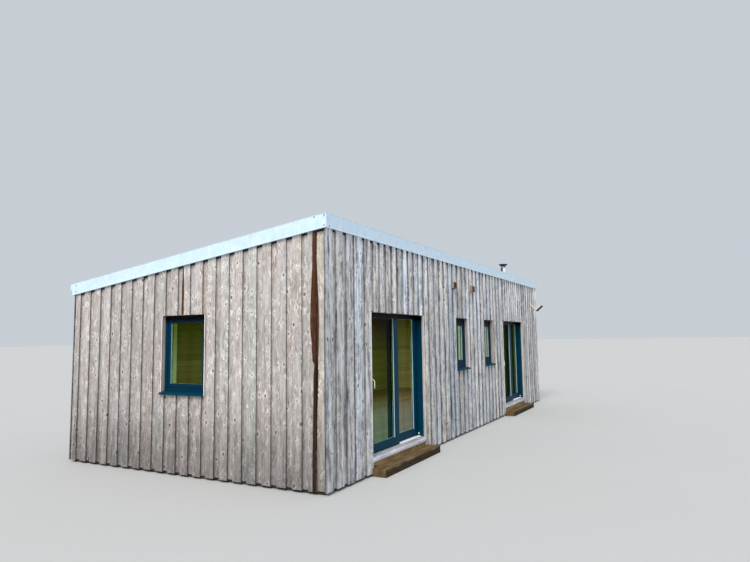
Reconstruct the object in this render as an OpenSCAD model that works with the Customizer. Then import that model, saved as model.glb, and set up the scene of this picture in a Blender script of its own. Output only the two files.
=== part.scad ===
// Timber clad cabin with a mono-pitch roof: a long low hut with board cladding,
// two sliding glazed doors and two narrow windows in the front, and one end window.
// Millimetres. Origin: centre of the footprint at ground level, front towards -Y.
// Places along the front are measured from the left corner of the board faces,
// depths from the front board faces, and heights from the ground.

/* [Building] */
// Length over the board faces
hut_l = 11850; // [11600:10:12600]
// Depth over the board faces
hut_d = 5050; // [4600:10:6000]
// Height of the roof edge at the front
roof_front_h = 3577; // [3480:1:3900]
// Height of the roof edge at the back
roof_back_h = 2935; // [2850:1:3300]
// Height of the fascia boards
fascia_h = 192; // [160:1:230]
// Thickness of the fascia boards
fascia_t = 30; // [18:1:45]

/* [Shell] */
// Height of the base slab
base_h = 100; // [60:5:140]
// Distance from the board faces in to the base slab
base_inset = 60; // [50:5:150]
// Height of the floor frame on the base slab
floor_frame_h = 145; // [110:5:180]
// Thickness of the floor boards and their insulation
floor_boards_t = 40; // [20:1:60]
// Thickness of the framed walls
wall_t = 210; // [190:5:300]
// Thickness of the two layers of cladding boards
cladding_t = 44; // [30:1:60]
// Height of the lower edge of the cladding
cladding_bottom = 35; // [20:5:100]
// Thickness of the roof deck
deck_t = 135; // [90:5:150]
// Height of the ribbed roof sheet, up to the flashings that lie on its ribs
sheet_h = 35; // [25:1:45]
// Distance from one rib of the roof sheet to the next
rib_pitch = 200; // [150:5:333]
// Width of a rib at its foot
rib_foot = 65; // [50:1:80]
// Width of a rib at its top
rib_top = 34; // [20:1:45]
// Thickness of the roof sheet between its ribs
pan_t = 4; // [2:0.5:8]
// Thickness of the flashings that cover the ends and sides of the roof sheet
flashing_t = 3; // [2:0.5:5]
// Width of the flashings on the roof
flashing_w = 120; // [80:5:180]
// Reach of the drip at the foot of a fascia
drip = 6; // [3:0.5:10]
// Overhang of the roof sheet past the back fascia
back_overhang = 45; // [20:5:80]

/* [Openings] */
// Height of the cladding's edge over the doors and windows
head_z = 2330; // [2200:5:2360]
// Width of a door opening
door_w = 1910; // [1600:10:2100]
// Place of the left door opening
left_door_x = 1210; // [800:10:1500]
// Place of the right door opening
right_door_x = 8090; // [7900:5:8800]
// Width of a narrow window opening
narrow_w = 700; // [500:10:800]
// Underside of the narrow window sills
narrow_z = 1285; // [1000:5:1500]
// Place of the first narrow window
narrow_x1 = 4738; // [4200:2:5200]
// Place of the second narrow window
narrow_x2 = 6543; // [6300:1:6900]
// Width of the end window opening
end_w = 860; // [600:10:1200]
// Underside of the end window sill
end_z = 1160; // [900:10:1400]
// Distance of the end window from the front board faces
end_y = 2090; // [1200:10:2600]

/* [Doors] */
// Depth of the door frame section
door_frame_d = 185; // [182:1:200]
// Width of the door frame's jambs and head, which stand behind the cladding
door_frame_w = 70; // [50:1:90]
// Height of the door frame's inner edge above the cladding's edge
door_frame_lift = 80; // [40:5:110]
// Width of the sliding leaf and of the fixed panel
leaf_w = 1045; // [1010:5:1050]
// Thickness of the sliding leaf and of the fixed panel
leaf_t = 56; // [50:1:62]
// Width of the stiles and top rails
stile_w = 145; // [90:5:180]
// Height of the bottom rails
foot_rail = 125; // [90:5:180]
// Depth of the leaf's face behind the frame's face
leaf_set_back = 46; // [36:1:50]
// Space round the moving leaf
leaf_gap = 6; // [5:0.5:8]
// Depth of the doors' glass behind the face of its frame
glass_set_back = 36; // [20:1:38]
// Thickness of a glass unit
glass_t = 12; // [6:1:12]
// Height of the door's bottom track above the floor frame
track_h = 19; // [10:1:25]
// Height of the rail on the track
rail_h = 8; // [5:0.5:12]
// Width of the rail on the track
rail_w = 6; // [4:0.5:8]
// Length of the block that stops the open leaf
stop_l = 40; // [20:1:60]
// Height of the block that stops the open leaf
stop_h = 75; // [40:1:90]
// Radius of the leaf's rollers
roller_r = 14; // [12:0.5:18]
// Depth of the groove in the leaf's foot that runs over the rail
groove_h = 24; // [20:1:26]
// Height of the raised back of the threshold above the floor frame
threshold_h = 29; // [27:1:60]
// Height of the handle's neck above the ground
handle_z = 1355; // [1000:5:1500]
// Distance of the handle from the leaf's free edge
handle_inset = 125; // [20:1:130]
// Radius of the handle's bar
handle_r = 9; // [6:0.5:11]
// Length of the handle's grip
handle_l = 115; // [80:5:200]
// Reach of the handle out of the leaf
handle_reach = 60; // [30:1:70]

/* [Windows] */
// Depth of the window frames' front face behind the board faces
window_frame_y = 70; // [50:1:90]
// Depth of the window frame section
window_frame_d = 70; // [60:1:90]
// Width of the narrow windows' frame
narrow_frame_w = 62; // [40:1:80]
// Width of the narrow windows' sash
narrow_sash_w = 85; // [50:1:100]
// Width of the end window's frame
end_frame_w = 50; // [40:1:80]
// Width of the end window's sash
end_sash_w = 58; // [40:1:100]
// Distance of the sash's face behind the frame's face
sash_set_back = 8; // [4:1:14]
// Thickness of a sash
sash_t = 54; // [50:1:58]
// Depth of a window's glass behind the face of its sash
pane_set_back = 28; // [15:1:34]
// Reach of the sills out of the board faces
sill_reach = 40; // [20:1:60]
// Thickness of the sills at their front edge
sill_t = 30; // [20:1:40]
// Rise of the sills from front to back
sill_rise = 15; // [5:1:25]

/* [Outside] */
// Depth of a sleeper step
step_d = 225; // [150:5:300]
// Height of a sleeper step
step_h = 120; // [80:5:125]
// Overhang of a step past the left edge of its door
step_left = 30; // [0:5:100]
// Overhang of a step past the right edge of its door
step_right = 80; // [0:5:150]
// Width of a wall vent
vent_w = 165; // [120:5:220]
// Height of a wall vent
vent_h = 145; // [120:5:200]
// Reach of a wall vent
vent_reach = 50; // [35:1:80]
// Distance of the vents' middle below the foot of the fascia
vent_drop = 415; // [200:5:650]
// Middle of the first vent
vent_x1 = 4620; // [4300:10:5000]
// Middle of the second vent
vent_x2 = 5735; // [5500:5:6200]
// Radius of the flue pipe
flue_r = 73; // [55:1:90]
// Place of the flue along the front
flue_x = 10450; // [9500:10:11000]
// Depth of the flue behind the front board faces
flue_y = 600; // [400:10:1500]
// Height of the flue pipe's top over the roof beside it
flue_rise = 444; // [330:2:700]
// Radius of the cowl
cowl_r = 126; // [100:1:160]
// Distance of the outdoor light from the right end
light_right = 720; // [150:10:1500]
// Distance of the outdoor light's wall plate below the foot of the fascia
light_drop = 515; // [250:5:800]

/* [Hidden] */
$fn = 48;
// Cuts run this far past the faces that they open
past = 10;
// Space between sloping or curved faces that meet, and under the leaf's rollers
seat = 0.3;
roof_slope = (roof_front_h - roof_back_h) / hut_d;
roof_angle = atan(roof_slope);
roof_end = hut_d + fascia_t + back_overhang;
frame_top = base_h + floor_frame_h;
door_frame_y = cladding_t;
inner = cladding_t + wall_t;
right_door_end = right_door_x + door_w;
left_door_end = left_door_x + door_w;
leaf_y = door_frame_y + leaf_set_back;
track_z = frame_top + track_h;
rail_y = leaf_y + leaf_t / 2;
panel_y = leaf_y + leaf_t + leaf_gap;
leaf_z = track_z + leaf_gap;
door_head_z = head_z + door_frame_lift;
leaf_top = door_head_z - leaf_gap;
panel_z = frame_top + threshold_h;
cill_z = 188;
cill_fall = 19;
cill_back_z = track_z + 2;
cill_front_z = cill_back_z - cill_fall;
cill_reach = 5;
cill_in = leaf_y - leaf_gap;
flue_top = roof_z(flue_y) + flue_rise;
light_x = hut_l - light_right;
fascia_foot = roof_front_h - fascia_h;
vent_z = fascia_foot - vent_drop;
light_z = fascia_foot - light_drop;
WOOD = [0.62, 0.57, 0.54];
GREY_WOOD = [0.58, 0.57, 0.58];
PALE_METAL = [0.83, 0.87, 0.9];
BLUE = [0.04, 0.2, 0.32];
GLASS = [0.2, 0.25, 0.2, 0.5];

// Height of the roof's upper surface at a depth behind the front board faces
function roof_z(y) = roof_front_h - y * roof_slope;
// Height of the roof deck's upper surface
function deck_z(y) = roof_z(y) - sheet_h;
// Height of the roof deck's underside
function ceiling_z(y) = deck_z(y) - deck_t;
// Height measured square to the slope that stands for a plumb one
function square_to_roof(h) = h * cos(roof_angle);

// Moves what is measured from the left front corner into place
module at_corner() {
    translate([-hut_l / 2, -hut_d / 2, 0]) children();
}

// Extrudes an outline of depth and height from x0 to x1
module along_x(x0, x1) {
    translate([x0, 0, 0]) rotate([90, 0, 90]) linear_extrude(x1 - x0) children();
}

// A box between two corners
module box(x0, x1, y0, y1, z0, z1) {
    translate([x0, y0, z0]) cube([x1 - x0, y1 - y0, z1 - z0]);
}

// A wall or cladding panel from a height up to the roof deck
module panel(x0, x1, y0, y1, z0) {
    along_x(x0, x1)
        polygon([[y0, z0], [y1, z0], [y1, ceiling_z(y1) - seat], [y0, ceiling_z(y0) - seat]]);
}

// A flat layer that follows the roof's slope
module sloped(x0, x1, y0, y1, over, under) {
    along_x(x0, x1)
        polygon([[y0, roof_z(y0) - under], [y1, roof_z(y1) - under],
            [y1, roof_z(y1) - over], [y0, roof_z(y0) - over]]);
}

// Extrudes an outline of place and height square to the roof down the slope, with plumb ends
module down_slope(y0, y1) {
    intersection() {
        translate([0, 0, roof_front_h]) rotate([90 - roof_angle, 0, 0]) translate([0, 0, -2 * hut_d])
            linear_extrude(3 * hut_d) children();
        box(-hut_l, 2 * hut_l, y0, y1, 0, 2 * roof_front_h);
    }
}

// The outline of a side fascia: a board with a drip, and a flashing that laps onto the roof
module side_profile(h, foot) {
    top = square_to_roof(h);
    lap = square_to_roof(flashing_t);
    polygon([[-fascia_t, 0], [flashing_w, 0], [flashing_w, -lap], [0, -lap], [0, -top],
        [-fascia_t - foot, -top], [-fascia_t, -top + 2 * foot]]);
}

// A side fascia whose upper half runs on past the back with the roof sheet
module side_fascia() {
    difference() {
        union() {
            down_slope(0, hut_d + fascia_t) side_profile(fascia_h, drip);
            down_slope(hut_d + fascia_t, roof_end) side_profile(fascia_h / 2, 0);
        }
        box(0, flashing_w + past, -past, flashing_w + seat, 0, 2 * roof_front_h);
    }
}

// The holes of the two narrow windows
module narrow_holes() {
    for (x = [narrow_x1, narrow_x2])
        box(x, x + narrow_w, -past, inner + past, narrow_z, head_z);
}

// The hole of the end window
module end_hole() {
    box(-past, inner + past, end_y, end_y + end_w, end_z, head_z);
}

// A rectangular ring that stands in the plane of the front
module ring(x0, x1, y0, y1, z0, z1, w, foot) {
    difference() {
        box(x0, x1, y0, y1, z0, z1);
        box(x0 + w, x1 - w, y0 - past, y1 + past, z0 + foot, z1 - w);
    }
}

// Turns what is drawn for the front onto the left end, with x as the depth
module on_left_end() {
    mirror([1, -1, 0]) children();
}

module base_slab() {
    color([0.45, 0.45, 0.43]) at_corner()
        box(base_inset, hut_l - base_inset, base_inset, hut_d - base_inset, 0, base_h);
}

module floor_frame() {
    color([0.5, 0.4, 0.3]) at_corner()
        box(cladding_t, hut_l - cladding_t, cladding_t, hut_d - cladding_t, base_h, frame_top);
}

module floor_boards() {
    color([0.7, 0.55, 0.36]) at_corner()
        box(inner, hut_l - inner, inner, hut_d - inner, frame_top, frame_top + floor_boards_t);
}

module front_panel(x0, x1) {
    panel(x0, x1, cladding_t, inner, frame_top);
}

module front_wall_left() {
    color(WOOD) at_corner() front_panel(inner, left_door_x - door_frame_w);
}

module front_wall_middle() {
    color(WOOD) at_corner() difference() {
        front_panel(left_door_end + door_frame_w, right_door_x - door_frame_w);
        narrow_holes();
    }
}

module front_wall_right() {
    color(WOOD) at_corner() front_panel(right_door_end + door_frame_w, hut_l - inner);
}

module front_wall_over_doors() {
    color(WOOD) at_corner() for (x = [left_door_x, right_door_x])
        panel(x - door_frame_w, x + door_w + door_frame_w, cladding_t, inner,
            door_head_z + door_frame_w);
}

module back_wall() {
    color(WOOD) at_corner() panel(inner, hut_l - inner, hut_d - inner, hut_d - cladding_t, frame_top);
}

module left_wall() {
    color(WOOD) at_corner() difference() {
        panel(cladding_t, inner, cladding_t, hut_d - cladding_t, frame_top);
        end_hole();
    }
}

module right_wall() {
    color(WOOD) at_corner()
        panel(hut_l - inner, hut_l - cladding_t, cladding_t, hut_d - cladding_t, frame_top);
}

module front_cladding_left() {
    color(GREY_WOOD) at_corner() panel(0, left_door_x, 0, cladding_t, cladding_bottom);
}

module front_cladding_middle() {
    color(GREY_WOOD) at_corner() difference() {
        panel(left_door_end, right_door_x, 0, cladding_t, cladding_bottom);
        narrow_holes();
    }
}

module front_cladding_right() {
    color(GREY_WOOD) at_corner() panel(right_door_end, hut_l, 0, cladding_t, cladding_bottom);
}

module front_cladding_at_doors() {
    color(GREY_WOOD) at_corner() for (x = [left_door_x, right_door_x]) {
        panel(x, x + door_w, 0, cladding_t, head_z);
        box(x, x + door_w, 0, cladding_t, cladding_bottom, cill_z);
    }
}

module back_cladding() {
    color(GREY_WOOD) at_corner() panel(0, hut_l, hut_d - cladding_t, hut_d, cladding_bottom);
}

module left_cladding() {
    color(WOOD) at_corner() difference() {
        panel(0, cladding_t, cladding_t, hut_d - cladding_t, cladding_bottom);
        end_hole();
    }
}

module right_cladding() {
    color(WOOD) at_corner()
        panel(hut_l - cladding_t, hut_l, cladding_t, hut_d - cladding_t, cladding_bottom);
}

module roof_deck() {
    color([0.6, 0.5, 0.38]) at_corner() sloped(0, hut_l, 0, hut_d, sheet_h, sheet_h + deck_t);
}

// A sheet with trapezoid ribs that run down the slope
module roof_sheet() {
    low = square_to_roof(-sheet_h + seat);
    pan = low + pan_t;
    high = square_to_roof(-flashing_t - seat);
    ribs = floor((hut_l - rib_foot) / rib_pitch);
    first = (hut_l - (ribs - 1) * rib_pitch) / 2;
    outline = [for (i = [ribs - 1:-1:0]) let (x = first + i * rib_pitch)
        each [[x + rib_foot / 2, pan], [x + rib_top / 2, high],
            [x - rib_top / 2, high], [x - rib_foot / 2, pan]]];
    color([0.5, 0.53, 0.55]) at_corner() down_slope(seat, roof_end)
        polygon(concat([[seat, low], [hut_l - seat, low], [hut_l - seat, pan]],
            outline, [[seat, pan]]));
}

module front_fascia() {
    foot_z = roof_z(0) - fascia_h;
    color(PALE_METAL) at_corner() {
        along_x(-fascia_t, hut_l + fascia_t)
            polygon([[-fascia_t, roof_z(-fascia_t)], [0, roof_z(0)], [0, foot_z],
                [-fascia_t - drip, foot_z], [-fascia_t, foot_z + 2 * drip]]);
        sloped(0, hut_l, 0, flashing_w, 0, flashing_t);
    }
}

module back_fascia() {
    color(PALE_METAL) at_corner()
        sloped(0, hut_l, hut_d, hut_d + fascia_t, sheet_h + seat, fascia_h);
}

module left_fascia() {
    color(PALE_METAL) at_corner() side_fascia();
}

module right_fascia() {
    color(PALE_METAL) at_corner() translate([hut_l, 0, 0]) mirror([1, 0, 0]) side_fascia();
}

// The frame round a door opening at x, without its threshold
module door_frame(x) {
    color(BLUE) at_corner() difference() {
        box(x - door_frame_w, x + door_w + door_frame_w, door_frame_y,
            door_frame_y + door_frame_d, frame_top, door_head_z + door_frame_w);
        box(x, x + door_w, door_frame_y - past, door_frame_y + door_frame_d + past,
            frame_top - past, door_head_z);
    }
}

// The fixed panel stands at the right, behind the line of the leaf
module fixed_panel(x) {
    color(BLUE) at_corner() ring(x + door_w - leaf_w, x + door_w, panel_y, panel_y + leaf_t,
        panel_z, door_head_z, stile_w, foot_rail);
}

// The glass of the fixed panel
module fixed_glass(x) {
    box(x + door_w - leaf_w + stile_w, x + door_w - stile_w, panel_y + glass_set_back,
        panel_y + glass_set_back + glass_t, panel_z + foot_rail, door_head_z - stile_w);
}

// The sliding leaf, with two rollers that stand on the rail of the track
module door_leaf(x) {
    x0 = x + leaf_gap;
    groove_w = rail_w + 2 * leaf_gap;
    color(BLUE) at_corner() {
        difference() {
            ring(x0, x0 + leaf_w, leaf_y, leaf_y + leaf_t, leaf_z, leaf_top, stile_w, foot_rail);
            box(x0 - past, x0 + leaf_w + past, rail_y - groove_w / 2, rail_y + groove_w / 2,
                leaf_z - past, leaf_z + groove_h);
        }
        for (rx = [x0 + stile_w / 2, x0 + leaf_w - stile_w / 2])
            translate([rx, rail_y + rail_w / 2, track_z + rail_h + seat + roller_r])
                rotate([90, 0, 0]) cylinder(r = roller_r, h = rail_w);
    }
}

// The glass of the sliding leaf
module leaf_glass(x) {
    x0 = x + leaf_gap;
    color(GLASS) at_corner() box(x0 + stile_w, x0 + leaf_w - stile_w, leaf_y + glass_set_back,
        leaf_y + glass_set_back + glass_t, leaf_z + foot_rail, leaf_top - stile_w);
}

// A hooked pull: a plate on the leaf, a bent neck and a grip that hangs down
module door_handle(x) {
    plate_w = 30;
    plate_t = 6;
    bend = handle_reach - plate_t;
    hx = x + leaf_gap + handle_inset;
    color("white") at_corner() {
        box(hx - plate_w / 2, hx + plate_w / 2, leaf_y - plate_t, leaf_y,
            handle_z - handle_l - bend, handle_z + 2 * plate_w);
        translate([hx, leaf_y - plate_t, handle_z - bend])
            rotate([0, -90, 0]) rotate_extrude(angle = -90) translate([bend, 0]) circle(r = handle_r);
        translate([hx, leaf_y - handle_reach, handle_z - bend - handle_l])
            cylinder(r = handle_r, h = handle_l);
        translate([hx, leaf_y - handle_reach, handle_z - bend - handle_l]) sphere(r = handle_r);
    }
}

module left_door_frame() { door_frame(left_door_x); }
module left_door_fixed_panel() { fixed_panel(left_door_x); }
module left_door_leaf() { door_leaf(left_door_x); }
module left_door_leaf_glass() { leaf_glass(left_door_x); }
module left_door_handle() { door_handle(left_door_x); }
module right_door_frame() { door_frame(right_door_x); }
module right_door_fixed_panel() { fixed_panel(right_door_x); }
module right_door_leaf() { door_leaf(right_door_x); }
module right_door_leaf_glass() { leaf_glass(right_door_x); }
module right_door_handle() { door_handle(right_door_x); }

module door_fixed_glass() {
    color(GLASS) at_corner() for (x = [left_door_x, right_door_x]) fixed_glass(x);
}

// Each threshold has a low track with a rail for the leaf and a raised back under the fixed panel
module door_thresholds() {
    y1 = door_frame_y + door_frame_d;
    r0 = rail_y - rail_w / 2;
    r1 = rail_y + rail_w / 2;
    rail_z = track_z + rail_h;
    color("white") at_corner() for (x = [left_door_x, right_door_x]) {
        x1 = x + door_w;
        along_x(x, x1)
            polygon([[cill_in, frame_top], [y1, frame_top], [y1, panel_z], [panel_y, panel_z],
                [panel_y, track_z], [r1, track_z], [r1, rail_z], [r0, rail_z], [r0, track_z],
                [cill_in, track_z]]);
        box(x1 - stop_l, x1, rail_y - leaf_t / 4, rail_y + leaf_t / 4, frame_top, track_z + stop_h);
    }
}

// A timber cill covers the edge of the floor under each door, up to the track
module door_cills() {
    color([0.66, 0.64, 0.6]) at_corner() for (x = [left_door_x, right_door_x])
        along_x(x, x + door_w)
            polygon([[-cill_reach, cill_z], [cladding_t, cill_z], [cladding_t, frame_top],
                [cill_in, frame_top], [cill_in, cill_back_z], [-cill_reach, cill_front_z]]);
}

module sleeper_steps() {
    color([0.38, 0.3, 0.22]) at_corner() for (x = [left_door_x, right_door_x])
        box(x - step_left, x + door_w + step_right, -step_d, 0, 0, step_h);
}

// A window frame between two places along its wall
module window_frame(x0, w, z0, frame_w) {
    ring(x0, x0 + w, window_frame_y, window_frame_y + window_frame_d,
        z0 + sill_t + sill_rise, head_z, frame_w, frame_w);
}

module window_sash(x0, w, z0, frame_w, sash_w) {
    ring(x0 + frame_w, x0 + w - frame_w, window_frame_y + sash_set_back,
        window_frame_y + sash_set_back + sash_t,
        z0 + sill_t + sill_rise + frame_w, head_z - frame_w, sash_w, sash_w);
}

module window_pane(x0, w, z0, rim) {
    y0 = window_frame_y + sash_set_back + pane_set_back;
    box(x0 + rim, x0 + w - rim, y0, y0 + glass_t, z0 + sill_t + sill_rise + rim, head_z - rim);
}

module window_sill(x0, w, z0) {
    y1 = window_frame_y + window_frame_d;
    top = z0 + sill_t + sill_rise;
    along_x(x0, x0 + w) polygon([[-sill_reach, z0], [y1, z0], [y1, top],
        [window_frame_y, top], [-sill_reach, z0 + sill_t]]);
}

module window_frames() {
    color(BLUE) at_corner() {
        for (x = [narrow_x1, narrow_x2]) window_frame(x, narrow_w, narrow_z, narrow_frame_w);
        on_left_end() window_frame(end_y, end_w, end_z, end_frame_w);
    }
}

module window_sashes() {
    color(BLUE) at_corner() {
        for (x = [narrow_x1, narrow_x2])
            window_sash(x, narrow_w, narrow_z, narrow_frame_w, narrow_sash_w);
        on_left_end() window_sash(end_y, end_w, end_z, end_frame_w, end_sash_w);
    }
}

module window_glass() {
    color(GLASS) at_corner() {
        for (x = [narrow_x1, narrow_x2])
            window_pane(x, narrow_w, narrow_z, narrow_frame_w + narrow_sash_w);
        on_left_end() window_pane(end_y, end_w, end_z, end_frame_w + end_sash_w);
    }
}

module window_sills() {
    color(BLUE) at_corner() {
        for (x = [narrow_x1, narrow_x2]) window_sill(x, narrow_w, narrow_z);
        on_left_end() window_sill(end_y, end_w, end_z);
    }
}

// A hooded vent: a box with a sloping top
module wall_vents() {
    lip = 12;
    color([0.3, 0.2, 0.15]) at_corner() for (x = [vent_x1, vent_x2])
        along_x(x - vent_w / 2, x + vent_w / 2)
            polygon([[0, vent_z - vent_h / 2], [-lip, vent_z - vent_h / 2],
                [-vent_reach, vent_z - vent_h / 4], [-vent_reach, vent_z + vent_h / 4],
                [0, vent_z + vent_h / 2]]);
}

// Everything below the tops of the roof sheet's ribs, wide enough for the flue's foot
module under_roof() {
    reach = 3 * flue_r;
    sloped(flue_x - reach, flue_x + reach, flue_y - reach, flue_y + reach, flashing_t, roof_back_h);
}

module flue_pipe() {
    reach = 3 * flue_r;
    color([0.7, 0.7, 0.7]) at_corner() difference() {
        translate([flue_x, flue_y, deck_z(flue_y) - reach])
            cylinder(r = flue_r, h = flue_top - deck_z(flue_y) + reach);
        under_roof();
    }
}

// The cowl stands on a collar in the pipe's mouth: four straps carry a shallow dished cap
module flue_cowl() {
    cap_z = flue_top + 45;
    color([0.35, 0.35, 0.36]) at_corner() translate([flue_x, flue_y, 0]) {
        translate([0, 0, flue_top]) cylinder(r = flue_r, h = 8);
        for (a = [45:90:315]) rotate(a) translate([flue_r - 22, -8, flue_top])
            cube([5, 16, cap_z - flue_top + 10]);
        translate([0, 0, cap_z]) rotate_extrude()
            polygon([[0, 0], [flue_r, 0], [cowl_r, 50], [cowl_r, 62], [0, 14]]);
    }
}

// A cone of sheet lead round the pipe where it leaves the roof
module flue_flashing() {
    foot = 2 * flue_r;
    lip = 5;
    height = 160;
    color([0.45, 0.46, 0.48]) at_corner() difference() {
        translate([flue_x, flue_y, deck_z(flue_y)]) cylinder(r1 = foot, r2 = flue_r + lip, h = height);
        under_roof();
        translate([flue_x, flue_y, 0]) cylinder(r = flue_r + seat, h = flue_top);
    }
}

// A light on a bent arm: a wall plate, an arm that drops away and a flat head that rises
module outdoor_light() {
    reach = 190;
    drop = 170;
    head_l = 220;
    head_w = 180;
    head_t = 60;
    plate = 90;
    plate_t = 14;
    arm_t = 28;
    color([0.8, 0.8, 0.8]) at_corner() {
        box(light_x - plate / 2, light_x + plate / 2, -plate_t, 0, light_z - plate / 2, light_z + plate / 2);
        along_x(light_x - arm_t / 2, light_x + arm_t / 2)
            polygon([[0, light_z], [0, light_z - arm_t], [-reach, light_z - drop - arm_t],
                [-reach, light_z - drop]]);
        translate([light_x, -reach + arm_t, light_z - drop - arm_t / 2]) rotate([-42, 0, 0])
            translate([-head_w / 2, -head_l, -head_t / 2]) cube([head_w, head_l, head_t]);
    }
}

base_slab();
floor_frame();
floor_boards();
front_wall_left();
front_wall_middle();
front_wall_right();
front_wall_over_doors();
back_wall();
left_wall();
right_wall();
front_cladding_left();
front_cladding_middle();
front_cladding_right();
front_cladding_at_doors();
back_cladding();
left_cladding();
right_cladding();
roof_deck();
roof_sheet();
front_fascia();
back_fascia();
left_fascia();
right_fascia();
left_door_frame();
left_door_fixed_panel();
left_door_leaf();
left_door_leaf_glass();
left_door_handle();
right_door_frame();
right_door_fixed_panel();
right_door_leaf();
right_door_leaf_glass();
right_door_handle();
door_fixed_glass();
door_thresholds();
door_cills();
sleeper_steps();
window_frames();
window_sashes();
window_glass();
window_sills();
wall_vents();
flue_pipe();
flue_cowl();
flue_flashing();
outdoor_light();
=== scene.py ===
import math
import random

import bmesh
import bpy
import numpy as np
from mathutils import Matrix, Vector, noise


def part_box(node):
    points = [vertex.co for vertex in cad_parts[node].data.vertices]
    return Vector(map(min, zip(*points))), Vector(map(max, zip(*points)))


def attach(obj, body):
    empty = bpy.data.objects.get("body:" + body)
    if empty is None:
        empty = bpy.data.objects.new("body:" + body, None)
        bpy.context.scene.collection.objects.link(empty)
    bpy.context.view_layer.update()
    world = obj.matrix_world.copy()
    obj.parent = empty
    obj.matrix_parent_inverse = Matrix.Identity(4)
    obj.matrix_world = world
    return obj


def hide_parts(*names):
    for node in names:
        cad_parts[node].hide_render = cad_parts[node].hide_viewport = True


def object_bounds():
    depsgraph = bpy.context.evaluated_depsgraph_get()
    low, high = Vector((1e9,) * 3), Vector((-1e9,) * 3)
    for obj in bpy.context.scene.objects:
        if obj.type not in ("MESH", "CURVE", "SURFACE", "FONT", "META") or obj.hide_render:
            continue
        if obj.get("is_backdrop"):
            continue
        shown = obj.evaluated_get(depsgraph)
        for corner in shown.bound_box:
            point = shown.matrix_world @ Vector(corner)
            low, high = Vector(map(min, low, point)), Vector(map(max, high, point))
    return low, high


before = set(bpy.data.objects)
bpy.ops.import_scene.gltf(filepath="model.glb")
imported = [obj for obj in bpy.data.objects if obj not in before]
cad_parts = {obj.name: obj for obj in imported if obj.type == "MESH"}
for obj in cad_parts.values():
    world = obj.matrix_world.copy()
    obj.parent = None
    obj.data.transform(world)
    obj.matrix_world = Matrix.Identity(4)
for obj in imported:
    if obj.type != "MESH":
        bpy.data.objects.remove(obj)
cad_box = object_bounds()
random.seed(7)

# Sizes of the hut in metres, as the frame has them: the body and the roof
HUT_L = 11.85
HUT_D = 5.05
ROOF_FRONT = 3.577
ROOF_SLOPE = (ROOF_FRONT - 2.935) / HUT_D
SHEET_H = 0.035
DECK_T = 0.135
FASCIA_H = 0.192
FASCIA_T = 0.030
FLASHING_W = 0.120
ROOF_END = HUT_D + 0.075
RIB_PITCH = 0.2
FLOOR_Z = 0.285
FLUE_X, FLUE_Y, FLUE_R = 10.45, 0.60, 0.073
LAMP_X, LAMP_Z = HUT_L - 0.720, 2.870

# Doors, by the left edge of their openings
HEAD_Z = 2.330
DOOR_W = 1.910
DOORS = {"left": 1.210, "right": 8.090}
DOOR_EDGES = {side: (x, x + DOOR_W) for side, x in DOORS.items()}
DOOR_FRAME_W = 0.070
STILE_W = 0.145
FOOT_RAIL = 0.125
DOOR_GLASS_D = 0.036
CILL_Z = 0.188
STEP_H = 0.12

# Windows, as openings: left edge, right edge, foot and head
NARROW_X = (4.738, 6.543)
NARROW = [(x, x + 0.700, 1.285, HEAD_Z) for x in NARROW_X]
END = [(2.090, 2.950, 1.160, HEAD_Z)]
SILL_H = 0.045
RETURN_D = 0.070
GLAZING_LIP = 0.004

# Cladding
BOARD_T = 0.022
BOARD_FOOT = 0.035
CLAD_D = 2 * BOARD_T
REVEAL_T = 0.012
# Height of the dark strips under the eaves, which are painted shade
SHADE_STRIP_H = 0.046


def roof_z(y):
    """Height of the roof's upper surface at a depth behind the front board faces."""
    return ROOF_FRONT - y * ROOF_SLOPE


def ceiling_z(y):
    """Height of the roof deck's underside."""
    return roof_z(y) - SHEET_H - DECK_T - 0.0005


class Wall:
    """Turns a place along a wall, a depth behind its outer boards and a height into a point."""

    def __init__(self, origin, along, inward):
        self.origin = np.array([*origin, 0.0])
        self.axes = np.array([[*along, 0.0], [*inward, 0.0], [0.0, 0.0, 1.0]])
        self.flipped = np.linalg.det(self.axes) < 0

    def world(self, points):
        return np.asarray(points, float) @ self.axes + self.origin

    def local(self, points):
        return (np.asarray(points, float) - self.origin) @ self.axes.T


FRONT = Wall((-HUT_L / 2, -HUT_D / 2), (1, 0), (0, 1))
LEFT = Wall((-HUT_L / 2, -HUT_D / 2), (0, 1), (1, 0))
RIGHT = Wall((HUT_L / 2, -HUT_D / 2), (0, 1), (-1, 0))
BACK = Wall((-HUT_L / 2, HUT_D / 2), (1, 0), (0, -1))


# Shader building


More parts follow.
